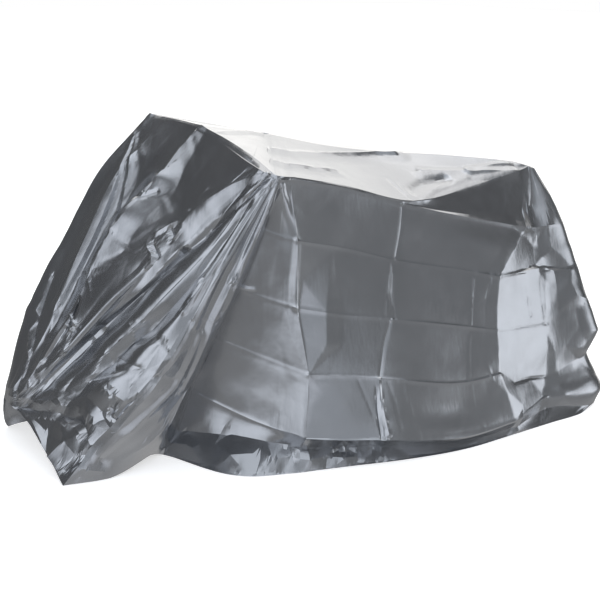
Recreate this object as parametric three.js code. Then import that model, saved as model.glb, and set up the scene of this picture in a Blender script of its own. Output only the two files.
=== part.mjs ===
// Motorcycle cover: one sheet of thin silver-grey film, draped to the floor over
// a parked machine that leans to its left with the handlebar turned.
// Millimetres, +Z up, floor at Z = 0, +X toward the tail, -Y toward the leaning side.
import * as THREE from 'three';

// ---- driving sizes -------------------------------------------------------
const FILM = 2;               // film thickness as modelled
const FLOOR = 0;              // nothing hangs below this height
const FOLD_SAMPLES = 12;      // points along each leg of a fold line
const FOLD_REACH = 2.6;       // sections on each side that a fold can touch
const FILM_COLOUR = 0x96989d;
const FILM_ROUGHNESS = 0.34;
const FILM_METALNESS = 0.45;

// ---- heights followed down every section ---------------------------------
// ridge: middle of the roof      brow: edge of the roof     eave: first crease
// crease1..3: crease lines left by packing, about 210 mm apart on the film
// foot: lowest bulge             tuck: inward roll under it  hem: free edge
const LEVELS = ['ridge', 'brow', 'eave', 'crease1', 'crease2', 'crease3', 'foot', 'tuck', 'hem'];
const CRISP_LEVEL = [0, 1, 1, 0, 0, 0, 1, 1, 1];
// positions down a section (0 = ridge, 8 = hem) at which the film is laid out
const ROWS = [0, 0.34, 0.67, 1, 2, 2.34, 2.67, 3, 3.34, 3.67, 4, 4.34, 4.67, 5, 5.34, 5.67, 6, 7, 8];

// ---- sections around the cover, from the tail along the leaning side ------
// name, crisp fold here, columns up to the next section, then [x, y, z] at each level
const SECTIONS = [
  ['rear_mid', 0, 3, [815, 52, 952], [897, 74, 931], [983, 54, 720], [1043, 54, 530], [1098, 44, 335], [1088, 44, 220], [1113, 44, 110], [1108, 44, 50], [1093, 44, 0]],
  ['rear_edge', 0, 4, [811, 36, 953], [880, 5, 926], [994, -35, 714], [1059, -75, 538], [1117, -126, 298], [1070, -141, 209], [1129, -126, 73], [1098, -155, 14], [1005, -227, 0]],
  ['rear_face', 0, 4, [799, 25, 954], [861, 5, 935], [827, -96, 711], [856, -145, 559], [834, -195, 361], [820, -246, 170], [796, -275, 94], [802, -275, 49], [787, -317, 0]],
  ['rear_corner', 1, 4, [743, 20, 961], [801, -16, 921], [762, -145, 724], [577, -266, 573], [550, -315, 387], [546, -360, 232], [593, -386, 59], [608, -376, 27], [619, -380, 0]],
  ['side_rear', 0, 5, [503, 20, 994], [557, -105, 886], [486, -216, 798], [471, -275, 602], [431, -336, 414], [395, -395, 228], [377, -450, 51], [400, -426, 18], [393, -463, 0]],
  ['side_mid', 0, 4, [233, 20, 1024], [214, -253, 875], [184, -266, 871], [133, -336, 683], [90, -405, 491], [13, -476, 305], [-3, -530, 100], [39, -445, 44], [15, -495, 0]],
  ['side_front', 0, 4, [3, 20, 1057], [-70, -315, 956], [-82, -325, 951], [-106, -365, 752], [-137, -405, 529], [-136, -455, 323], [-141, -511, 111], [-106, -435, 52], [-127, -482, 0]],
  ['grip_corner', 1, 3, [-147, 20, 1089], [-272, -376, 1002], [-287, -386, 994], [-270, -405, 791], [-278, -416, 564], [-249, -450, 337], [-274, -485, 121], [-275, -435, 73], [-297, -478, 0]],
  ['grip_cheek', 0, 3, [-190, 21, 1098], [-305, -386, 1006], [-312, -395, 996], [-323, -376, 806], [-350, -350, 588], [-374, -336, 384], [-376, -376, 143], [-384, -355, 95], [-461, -443, 0]],
  ['grip_valley', 1, 3, [-196, 22, 1099], [-323, -395, 1010], [-328, -400, 998], [-368, -346, 825], [-441, -285, 621], [-508, -226, 442], [-571, -166, 236], [-612, -126, 91], [-671, -118, 0]],
  ['bundle_edge', 1, 3, [-201, 24, 1100], [-336, -400, 1012], [-338, -405, 1002], [-395, -395, 835], [-479, -371, 641], [-557, -346, 475], [-634, -315, 284], [-687, -296, 168], [-723, -172, 20]],
  ['bundle_crest', 0, 3, [-206, 26, 1100], [-343, -400, 1014], [-348, -405, 1003], [-442, -381, 802], [-563, -368, 549], [-666, -354, 367], [-806, -320, 172], [-875, -296, 68], [-898, -283, 0]],
  ['bundle_low', 1, 3, [-210, 30, 1101], [-347, -394, 1016], [-355, -400, 1008], [-490, -396, 788], [-616, -391, 589], [-727, -394, 414], [-909, -343, 181], [-990, -305, 97], [-1066, -288, 0]],
  ['fan_crest_c', 0, 3, [-213, 34, 1101], [-355, -382, 1024], [-362, -395, 1012], [-514, -386, 788], [-673, -375, 577], [-802, -315, 423], [-953, -235, 235], [-1019, -210, 137], [-1075, -201, 36]],
  ['fan_valley_b', 1, 2, [-216, 39, 1102], [-361, -368, 1032], [-374, -395, 1020], [-523, -340, 767], [-676, -277, 567], [-811, -188, 413], [-978, -87, 229], [-1038, -80, 158], [-1088, -87, 80]],
  ['fan_crest_b', 0, 2, [-218, 44, 1102], [-367, -354, 1040], [-382, -386, 1025], [-538, -326, 789], [-695, -263, 606], [-844, -172, 437], [-1013, -31, 249], [-1062, 8, 187], [-1101, 21, 122]],
  ['fan_valley_a', 1, 2, [-219, 50, 1102], [-375, -335, 1050], [-396, -376, 1035], [-530, -251, 807], [-678, -141, 636], [-836, -31, 464], [-1020, 72, 259], [-1079, 91, 194], [-1119, 111, 146]],
  ['fan_crest_a', 0, 3, [-219, 55, 1102], [-388, -300, 1064], [-409, -336, 1047], [-547, -200, 858], [-706, -118, 676], [-867, -28, 484], [-1044, 78, 258], [-1096, 119, 196], [-1134, 165, 153]],
  ['front_bowl', 0, 3, [-218, 61, 1102], [-414, -105, 1106], [-428, -105, 1089], [-588, -98, 883], [-763, -47, 677], [-921, 26, 463], [-1073, 111, 237], [-1109, 145, 191], [-1133, 190, 153]],
  ['front_ridge', 1, 3, [-216, 66, 1102], [-443, 84, 1140], [-458, 84, 1116], [-636, 59, 926], [-800, 71, 744], [-953, 64, 486], [-1102, 143, 216], [-1123, 171, 185], [-1133, 215, 152]],
  ['front_hollow', 0, 3, [-213, 71, 1101], [-467, 215, 1143], [-479, 215, 1129], [-640, 230, 933], [-792, 215, 715], [-957, 175, 447], [-1113, 180, 211], [-1129, 194, 183], [-1133, 234, 148]],
  ['front_streak', 1, 2, [-210, 75, 1101], [-497, 324, 1147], [-513, 324, 1128], [-691, 286, 957], [-841, 239, 703], [-994, 190, 425], [-1121, 209, 211], [-1131, 220, 180], [-1132, 255, 144]],
  ['front_far', 0, 3, [-206, 79, 1100], [-512, 374, 1149], [-528, 374, 1135], [-694, 369, 969], [-856, 324, 693], [-1025, 265, 404], [-1127, 249, 201], [-1133, 244, 177], [-1134, 274, 147]],
  ['far_edge', 0, 3, [-201, 81, 1100], [-524, 425, 1152], [-538, 430, 1137], [-711, 414, 976], [-888, 395, 695], [-1051, 364, 391], [-1122, 334, 186], [-1128, 324, 166], [-1131, 324, 144]],
  ['far_nose', 0, 3, [-196, 83, 1099], [-514, 435, 1148], [-514, 455, 1122], [-677, 454, 880], [-817, 464, 630], [-947, 454, 380], [-1067, 444, 120], [-1077, 434, 60], [-1102, 425, 0]],
  ['far_cheek', 0, 4, [-190, 84, 1098], [-472, 430, 1140], [-472, 454, 1100], [-537, 475, 850], [-617, 490, 610], [-687, 500, 360], [-757, 504, 120], [-762, 480, 60], [-767, 494, 0]],
  ['far_front_side', 0, 4, [-147, 84, 1089], [-267, 400, 1095], [-267, 420, 1060], [-287, 454, 840], [-317, 485, 620], [-347, 509, 370], [-367, 530, 120], [-367, 490, 60], [-367, 514, 0]],
  ['far_mid', 0, 5, [43, 84, 1051], [49, 348, 1050], [49, 370, 1010], [23, 415, 800], [3, 454, 580], [-17, 494, 360], [-17, 524, 120], [-17, 485, 60], [-17, 509, 0]],
  ['far_rear', 0, 4, [533, 84, 990], [617, 274, 976], [603, 305, 940], [563, 355, 740], [533, 404, 530], [513, 454, 320], [503, 485, 110], [503, 454, 50], [503, 475, 0]],
  ['far_corner', 0, 3, [753, 84, 960], [783, 190, 948], [828, 229, 860], [843, 264, 660], [843, 314, 480], [843, 365, 300], [843, 394, 110], [843, 374, 50], [843, 394, 0]],
  ['rear_far', 0, 3, [806, 75, 953], [866, 130, 932], [948, 144, 740], [993, 164, 550], [1043, 194, 360], [1058, 214, 220], [1043, 234, 110], [1023, 224, 60], [1033, 234, 0]],
];

// ---- folds laid on top of the sections -----------------------------------
// section counts from 0 at the tail, level from 0 at the ridge to 8 at the hem;
// rise > 0 is a ridge, rise < 0 a trough; the fold is strongest in its middle
// name, line [[section, level], ...], half width at start and end, rise at start, middle and end
const FOLDS = [
  ['gather_fold', [[12.0, 4.92], [12.69, 5.15], [14.13, 5.58], [15.39, 6.48]], 28, 24, -4, -12, -4],
  ['bib_facet', [[12.86, 4.05], [14.14, 4.42], [13.52, 4.88]], 34, 30, 4, 14, 6],
  ['flap_edge', [[16.3, 7.6], [15.0, 6.75], [14.1, 6.47], [13.1, 6.45]], 24, 30, -6, -24, -18],
  ['nose_fold', [[12.95, 6.5], [12.58, 6.53], [11.95, 6.05]], 26, 26, -16, -10, -3],
  ['bar_crest', [[18.95, 2.5], [18.95, 2.86], [19.0, 3.65], [19.4, 4.3]], 60, 50, 6, 20, 6],
  ['roof_long', [[8.2, 0.26], [6.4, 0.27], [5.6, 0.15], [4.8, 0.04]], 40, 40, -2, -9, -2],
  ['roof_near', [[8.2, 0.61], [6.7, 0.68], [6.0, 0.67]], 34, 34, -2, -8, -2],
  ['roof_rear', [[4.6, 0.45], [4.0, 0.51], [3.2, 0.72]], 34, 30, -2, -8, -2],
  ['wall_diamond', [[7.0, 4.0], [6.55, 4.5], [6.95, 5.0]], 40, 40, 2, 8, 2],
  ['rear_dent', [[1.8, 3.5], [1.65, 3.7], [1.5, 3.75]], 44, 36, -4, -14, -4],
  ['rear_flute', [[1.8, 4.05], [1.92, 4.45], [1.83, 4.95]], 34, 30, -4, -12, -4],
  ['hem_puff', [[8.55, 7.55], [8.25, 7.4], [8.0, 7.0]], 44, 44, 4, 18, 6],
];

const sectionPoints = SECTIONS.map((row) => row.slice(3).map((p) => new THREE.Vector3(...p)));
const sectionCrisp = SECTIONS.map((row) => row[1] === 1);
const N = SECTIONS.length;

// cubic through a (slope ma) and b (slope mb), k from 0 to 1
function cubic(a, b, ma, mb, k) {
  const k2 = k * k, k3 = k2 * k;
  return new THREE.Vector3()
    .addScaledVector(a, 2 * k3 - 3 * k2 + 1)
    .addScaledVector(ma, k3 - 2 * k2 + k)
    .addScaledVector(b, -2 * k3 + 3 * k2)
    .addScaledVector(mb, k3 - k2);
}

// slope at b of a run a, b, c: straight legs at a crisp fold, else a blend of both legs
function slope(a, b, c, crisp, after) {
  const da = b.distanceTo(a) + 0.1, dc = c.distanceTo(b) + 0.1;
  const before = new THREE.Vector3().subVectors(b, a).divideScalar(da);
  const next = new THREE.Vector3().subVectors(c, b).divideScalar(dc);
  if (crisp) return after ? next : before;
  return before.multiplyScalar(dc).addScaledVector(next, da).divideScalar(da + dc);
}

// the nine level points of the section at position s around the cover
function sectionAt(s) {
  const i = Math.floor(s), k = s - i;
  const at = (o) => (((i + o) % N) + N) % N;
  return LEVELS.map((_, l) => {
    const [pm, p0, p1, p2] = [-1, 0, 1, 2].map((o) => sectionPoints[at(o)][l]);
    const d = p1.distanceTo(p0) + 0.1;
    const m0 = slope(pm, p0, p1, sectionCrisp[at(0)], true).multiplyScalar(d);
    const m1 = slope(p0, p1, p2, sectionCrisp[at(1)], false).multiplyScalar(d);
    return cubic(p0, p1, m0, m1, k);
  });
}

// the point at level t of a section
function levelAt(points, t) {
  const last = points.length - 2;
  const j = Math.min(Math.floor(t), last), k = t - j;
  const p0 = points[j], p1 = points[j + 1];
  const d = p1.distanceTo(p0);
  const straight = new THREE.Vector3().subVectors(p1, p0).divideScalar(d + 1e-6);
  const m0 = j === 0 ? straight.clone() : slope(points[j - 1], p0, p1, CRISP_LEVEL[j], true);
  const m1 = j === last ? straight.clone() : slope(p0, p1, points[j + 2], CRISP_LEVEL[j + 1], false);
  return cubic(p0, p1, m0.multiplyScalar(d), m1.multiplyScalar(d), k);
}

const filmPoint = (s, t) => levelAt(sectionAt(s), t);

// fold lines as points on the plain film, each with its own half width and rise
const foldLines = FOLDS.map(([, line, w0, w1, r0, rMid, r1]) => {
  const legs = line.length - 1, total = legs * FOLD_SAMPLES, points = [];
  for (let n = 0; n <= total; n++) {
    const leg = Math.min(Math.floor(n / FOLD_SAMPLES), legs - 1);
    const k = n / FOLD_SAMPLES - leg, along = n / total;
    const s = line[leg][0] + (line[leg + 1][0] - line[leg][0]) * k;
    const t = line[leg][1] + (line[leg + 1][1] - line[leg][1]) * k;
    const rise = along < 0.5 ? r0 + (rMid - r0) * along * 2 : rMid + (r1 - rMid) * (along * 2 - 1);
    points.push({ s, p: filmPoint(s, t), width: w0 + (w1 - w0) * along, rise });
  }
  return points;
});

// how far the folds lift the film at a point
function foldRise(s, p) {
  let sum = 0;
  for (const line of foldLines) {
    let best = null, bestRatio = 1;
    for (const q of line) {
      if (Math.abs(q.s - s) > FOLD_REACH) continue;
      const ratio = q.p.distanceTo(p) / q.width;
      if (ratio < bestRatio) { bestRatio = ratio; best = q; }
    }
    if (best) sum += best.rise * (1 - bestRatio) * (1 - bestRatio) * (1 + 2 * bestRatio);
  }
  return sum;
}

// columns around the cover
const columns = [];
SECTIONS.forEach((row, i) => {
  for (let c = 0; c < row[2]; c++) columns.push(i + c / row[2]);
});
const C = columns.length, Rn = ROWS.length;
const id = (i, j) => ((i + C) % C) * Rn + j;

// plain film, then its outward directions, then the folds
const film = [];
for (const s of columns) {
  const section = sectionAt(s);
  for (const t of ROWS) film.push(levelAt(section, t));
}

// triangles of the skirt and of the strip that closes the roof along its ridge
const faces = [];
for (let i = 0; i < C; i++) {
  for (let j = 0; j < Rn - 1; j++) {
    const a = id(i, j), b = id(i + 1, j), c = id(i + 1, j + 1), d = id(i, j + 1);
    if (film[a].distanceTo(film[c]) <= film[b].distanceTo(film[d])) faces.push([a, b, c], [a, c, d]);
    else faces.push([a, b, d], [b, c, d]);
  }
}
const FRONT = columns.indexOf(SECTIONS.findIndex((row) => row[0] === 'front_hollow'));
const nearSide = [], farSide = [id(0, 0)];
for (let i = 0; i <= FRONT; i++) nearSide.push(id(i, 0));
for (let i = C - 1; i >= FRONT; i--) farSide.push(id(i, 0));
for (let a = 0, b = 0; a < nearSide.length - 1 || b < farSide.length - 1;) {
  const nextA = nearSide[a + 1], nextB = farSide[b + 1];
  const stepA = nextB === undefined || (nextA !== undefined && film[nextA].x >= film[nextB].x);
  const tri = stepA ? [nearSide[a], farSide[b], nextA] : [nearSide[a], farSide[b], nextB];
  if (new Set(tri).size === 3) faces.push(tri);
  if (stepA) a++; else b++;
}

function outward(points) {
  const normals = points.map(() => new THREE.Vector3());
  const e1 = new THREE.Vector3(), e2 = new THREE.Vector3();
  for (const [a, b, c] of faces) {
    e1.subVectors(points[b], points[a]);
    e2.subVectors(points[c], points[a]);
    e1.cross(e2);
    normals[a].add(e1); normals[b].add(e1); normals[c].add(e1);
  }
  return normals.map((n) => n.normalize());
}

const plain = outward(film);
const outer = film.map((p, v) => {
  const q = p.clone().addScaledVector(plain[v], foldRise(columns[Math.floor(v / Rn)], p));
  q.z = Math.max(q.z, FLOOR);
  return q;
});
const away = outward(outer);
const inner = outer.map((p, v) => {
  const q = p.clone().addScaledVector(away[v], -FILM);
  q.z = Math.max(q.z, FLOOR);
  return q;
});

// closed shell: outer skin, inner skin turned over, and the rim along the hem
const V = outer.length, index = [];
for (const [a, b, c] of faces) index.push(a, b, c, V + a, V + c, V + b);
for (let i = 0; i < C; i++) {
  const a = id(i, Rn - 1), b = id(i + 1, Rn - 1);
  index.push(a, b, V + b, a, V + b, V + a);
}
const geometry = new THREE.BufferGeometry();
geometry.setAttribute('position', new THREE.Float32BufferAttribute([...outer, ...inner].flatMap((p) => p.toArray()), 3));
geometry.setIndex(index);
geometry.computeVertexNormals();

const cover = new THREE.Mesh(
  geometry,
  new THREE.MeshStandardMaterial({ color: FILM_COLOUR, roughness: FILM_ROUGHNESS, metalness: FILM_METALNESS, side: THREE.DoubleSide }),
);
cover.name = 'cover';

const part = new THREE.Group();
part.name = 'motorcycle_cover';
part.add(cover);
export default part;
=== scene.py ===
import math
import bpy
import numpy as np
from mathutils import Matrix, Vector


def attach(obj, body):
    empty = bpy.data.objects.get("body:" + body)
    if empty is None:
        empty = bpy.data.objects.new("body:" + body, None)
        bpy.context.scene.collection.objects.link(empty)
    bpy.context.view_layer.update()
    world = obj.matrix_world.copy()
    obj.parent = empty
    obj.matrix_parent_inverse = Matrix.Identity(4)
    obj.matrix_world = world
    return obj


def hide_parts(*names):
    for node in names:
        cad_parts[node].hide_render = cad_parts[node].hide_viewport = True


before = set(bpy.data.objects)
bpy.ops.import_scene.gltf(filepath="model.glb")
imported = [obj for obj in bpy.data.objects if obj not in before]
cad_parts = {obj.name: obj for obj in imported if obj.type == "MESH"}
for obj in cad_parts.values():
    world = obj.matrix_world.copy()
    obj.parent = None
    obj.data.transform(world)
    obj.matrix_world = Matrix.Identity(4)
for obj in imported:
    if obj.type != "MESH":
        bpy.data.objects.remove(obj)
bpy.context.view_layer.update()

# Motorcycle cover: one sheet of thin silver-grey film draped to the floor.
# Metres, +Z up, floor at Z = 0, +X toward the tail, -Y toward the leaning side.
MM = 0.001
HEM_CLEARANCE = 0.0015        # the film lies this far above the floor
CRISP_LEVEL = [0, 1, 1, 0, 0, 0, 1, 1, 1]
# sections where the film also breaks at the packing creases (0 flowing, 1 broken)
FIRM = dict(rear_mid=1, rear_edge=1, rear_face=1, rear_corner=1, side_rear=1, side_mid=1,
            side_front=1, grip_corner=1, grip_cheek=1, grip_valley=.4)

# ---- sections around the cover, from the tail along the leaning side -------
# name, crisp fold here, columns up to the next section, then [x, y, z] in mm at
# ridge, brow, eave, crease 1, crease 2, crease 3, foot, tuck and hem
SECTIONS = [
    ['rear_mid', 0, 3, [815, 52, 952], [897, 74, 931], [983, 54, 720], [1043, 54, 530], [1098, 44, 335], [1088, 44, 220], [1113, 44, 110], [1108, 44, 50], [1093, 44, 0]],
    ['rear_edge', 0, 4, [811, 36, 953], [880, 5, 926], [994, -35, 714], [1059, -75, 538], [1117, -126, 298], [1070, -141, 209], [1129, -126, 73], [1098, -155, 14], [1005, -227, 0]],
    ['rear_face', 1, 4, [799, 25, 954], [861, 5, 935], [827, -96, 711], [856, -145, 559], [834, -195, 361], [820, -246, 170], [796, -275, 94], [802, -275, 49], [787, -317, 0]],
    ['rear_corner', 1, 4, [743, 20, 961], [801, -16, 921], [762, -145, 724], [577, -266, 573], [550, -315, 387], [546, -360, 232], [593, -386, 59], [608, -376, 27], [619, -380, 0]],
    ['side_rear', 0, 5, [503, 20, 994], [557, -105, 886], [486, -216, 798], [471, -275, 602], [431, -336, 414], [395, -395, 228], [377, -450, 51], [400, -426, 18], [393, -463, 0]],
    ['side_mid', 0, 4, [233, 20, 1024], [214, -253, 875], [184, -266, 871], [133, -336, 683], [90, -405, 491], [13, -476, 305], [-3, -530, 100], [39, -445, 44], [15, -495, 0]],
    ['side_front', 0, 4, [3, 20, 1057], [-70, -315, 956], [-82, -325, 951], [-106, -365, 752], [-137, -405, 529], [-136, -455, 323], [-141, -511, 111], [-106, -435, 52], [-127, -482, 0]],
    ['grip_corner', 1, 3, [-147, 20, 1089], [-272, -376, 1002], [-287, -386, 994], [-270, -405, 791], [-278, -416, 564], [-249, -450, 337], [-274, -485, 121], [-275, -435, 73], [-297, -478, 0]],
    ['grip_cheek', 0, 3, [-190, 21, 1098], [-305, -386, 1006], [-312, -395, 996], [-323, -376, 806], [-350, -350, 588], [-374, -336, 384], [-376, -376, 143], [-384, -355, 95], [-461, -443, 0]],
    ['grip_valley', 1, 3, [-196, 22, 1099], [-323, -395, 1010], [-328, -400, 998], [-368, -346, 825], [-441, -285, 621], [-508, -226, 442], [-571, -166, 236], [-612, -126, 91], [-671, -118, 0]],
    ['bundle_edge', 1, 3, [-201, 24, 1100], [-336, -400, 1012], [-338, -405, 1002], [-395, -395, 835], [-479, -371, 641], [-557, -346, 475], [-634, -315, 284], [-687, -296, 168], [-723, -172, 20]],
    ['bundle_crest', 0, 3, [-206, 26, 1100], [-343, -400, 1014], [-348, -405, 1003], [-442, -381, 802], [-563, -368, 549], [-666, -354, 367], [-806, -320, 172], [-875, -296, 68], [-898, -283, 0]],
    ['bundle_low', 1, 3, [-210, 30, 1101], [-347, -394, 1016], [-355, -400, 1008], [-490, -396, 788], [-616, -391, 589], [-727, -394, 414], [-909, -343, 181], [-990, -305, 97], [-1066, -288, 0]],
    ['fan_crest_c', 0, 3, [-213, 34, 1101], [-355, -382, 1024], [-362, -395, 1012], [-514, -386, 788], [-673, -375, 577], [-802, -315, 423], [-953, -235, 235], [-1019, -210, 137], [-1075, -201, 36]],
    ['fan_valley_b', 1, 2, [-216, 39, 1102], [-361, -368, 1032], [-374, -395, 1020], [-523, -340, 767], [-676, -277, 567], [-811, -188, 413], [-978, -87, 229], [-1038, -80, 158], [-1088, -87, 80]],
    ['fan_crest_b', 0, 2, [-218, 44, 1102], [-367, -354, 1040], [-382, -386, 1025], [-538, -326, 789], [-695, -263, 606], [-844, -172, 437], [-1013, -31, 249], [-1062, 8, 187], [-1101, 21, 122]],
    ['fan_valley_a', 1, 2, [-219, 50, 1102], [-375, -335, 1050], [-396, -376, 1035], [-530, -251, 807], [-678, -141, 636], [-836, -31, 464], [-1020, 72, 259], [-1079, 91, 194], [-1119, 111, 146]],
    ['fan_crest_a', 0, 3, [-219, 55, 1102], [-388, -300, 1064], [-409, -336, 1047], [-547, -200, 858], [-706, -118, 676], [-867, -28, 484], [-1044, 78, 258], [-1096, 119, 196], [-1134, 165, 153]],
    ['front_bowl', 0, 3, [-218, 61, 1102], [-414, -105, 1106], [-428, -105, 1089], [-588, -98, 883], [-763, -47, 677], [-921, 26, 463], [-1073, 111, 237], [-1109, 145, 191], [-1133, 190, 153]],
    ['front_ridge', 1, 3, [-216, 66, 1102], [-443, 84, 1140], [-458, 84, 1116], [-636, 59, 926], [-800, 71, 744], [-953, 64, 486], [-1102, 143, 216], [-1123, 171, 185], [-1133, 215, 152]],
    ['front_hollow', 0, 3, [-213, 71, 1101], [-467, 215, 1143], [-479, 215, 1129], [-640, 230, 933], [-792, 215, 715], [-957, 175, 447], [-1113, 180, 211], [-1129, 194, 183], [-1133, 234, 148]],
    ['front_streak', 1, 2, [-210, 75, 1101], [-497, 324, 1147], [-513, 324, 1128], [-691, 286, 957], [-841, 239, 703], [-994, 190, 425], [-1121, 209, 211], [-1131, 220, 180], [-1132, 255, 144]],
    ['front_far', 0, 3, [-206, 79, 1100], [-512, 374, 1149], [-528, 374, 1135], [-694, 369, 969], [-856, 324, 693], [-1025, 265, 404], [-1127, 249, 201], [-1133, 244, 177], [-1134, 274, 147]],
    ['far_edge', 0, 3, [-201, 81, 1100], [-524, 425, 1152], [-538, 430, 1137], [-711, 414, 976], [-888, 395, 695], [-1051, 364, 391], [-1122, 334, 186], [-1128, 324, 166], [-1131, 324, 144]],
    ['far_nose', 0, 3, [-196, 83, 1099], [-514, 435, 1148], [-514, 455, 1122], [-677, 454, 880], [-817, 464, 630], [-947, 454, 380], [-1067, 444, 120], [-1077, 434, 60], [-1102, 425, 0]],
    ['far_cheek', 0, 4, [-190, 84, 1098], [-472, 430, 1140], [-472, 454, 1100], [-537, 475, 850], [-617, 490, 610], [-687, 500, 360], [-757, 504, 120], [-762, 480, 60], [-767, 494, 0]],
    ['far_front_side', 0, 4, [-147, 84, 1089], [-267, 400, 1095], [-267, 420, 1060], [-287, 454, 840], [-317, 485, 620], [-347, 509, 370], [-367, 530, 120], [-367, 490, 60], [-367, 514, 0]],
    ['far_mid', 0, 5, [43, 84, 1051], [49, 348, 1050], [49, 370, 1010], [23, 415, 800], [3, 454, 580], [-17, 494, 360], [-17, 524, 120], [-17, 485, 60], [-17, 509, 0]],
    ['far_rear', 0, 4, [533, 84, 990], [617, 274, 976], [603, 305, 940], [563, 355, 740], [533, 404, 530], [513, 454, 320], [503, 485, 110], [503, 454, 50], [503, 475, 0]],
    ['far_corner', 0, 3, [753, 84, 960], [783, 190, 948], [828, 229, 860], [843, 264, 660], [843, 314, 480], [843, 365, 300], [843, 394, 110], [843, 374, 50], [843, 394, 0]],
    ['rear_far', 0, 3, [806, 75, 953], [866, 130, 932], [948, 144, 740], [993, 164, 550], [1043, 194, 360], [1058, 214, 220], [1043, 234, 110], [1023, 224, 60], [1033, 234, 0]],
]
FINE = dict(rear_mid=9, rear_edge=34, rear_face=38, rear_corner=28, side_rear=56, side_mid=34,
            side_front=26, grip_corner=24, grip_cheek=24, grip_valley=22, bundle_edge=26,
            bundle_crest=26, bundle_low=22, fan_crest_c=18, fan_valley_b=16, fan_crest_b=16,
            fan_valley_a=18, fan_crest_a=28, front_bowl=32, front_ridge=22, front_hollow=18,
            front_streak=14, front_far=14, far_edge=10, far_nose=8, far_cheek=10,
            far_front_side=12, far_mid=14, far_rear=9, far_corner=8, rear_far=8)
ROWS_PER_LEVEL = [28, 6, 28, 27, 27, 23, 6, 6]
RIDGE_ROWS = [0.12, 0.4, 0.7]   # rows inside the ridge ring, as parts of its half width

# how strongly the film is crumpled at each section, and at each level below
CRUMPLE = dict(rear_mid=.7, rear_edge=.6, rear_face=.3, rear_corner=.2, side_rear=.18, side_mid=.18,
               side_front=.18, grip_corner=.2, grip_cheek=.25, grip_valley=.25, bundle_edge=.2,
               bundle_crest=.2, bundle_low=.25, fan_crest_c=.3, fan_valley_b=.3, fan_crest_b=.3,
               fan_valley_a=.3, fan_crest_a=.3, front_bowl=.35, front_ridge=.35, front_hollow=.35,
               front_streak=.4, front_far=.6, far_edge=.8, far_nose=.9, far_cheek=.8,
               far_front_side=.6, far_mid=.5, far_rear=.5, far_corner=.7, rear_far=.9)
CRUMPLE_LEVEL = [.3, .3, .5, .8, .9, 1, 1.1, 1.3, 1.3]

# ---- packing creases along the levels of the hidden side ---------------------
# level, first section, last section, half width mm, rise mm (ridge > 0, valley < 0)
LEVEL_CREASES = [
    (3, 23.0, 30.6, 9, 2.2),
    (4, 23.0, 30.6, 9, -2.2),
    (5, 23.0, 30.6, 9, 2.0),
]
# how far the film stands off between the creases, at each level, mm
PILLOW = [0, 0, 0, 4, -3, 3, 0, 0, 0]

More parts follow.
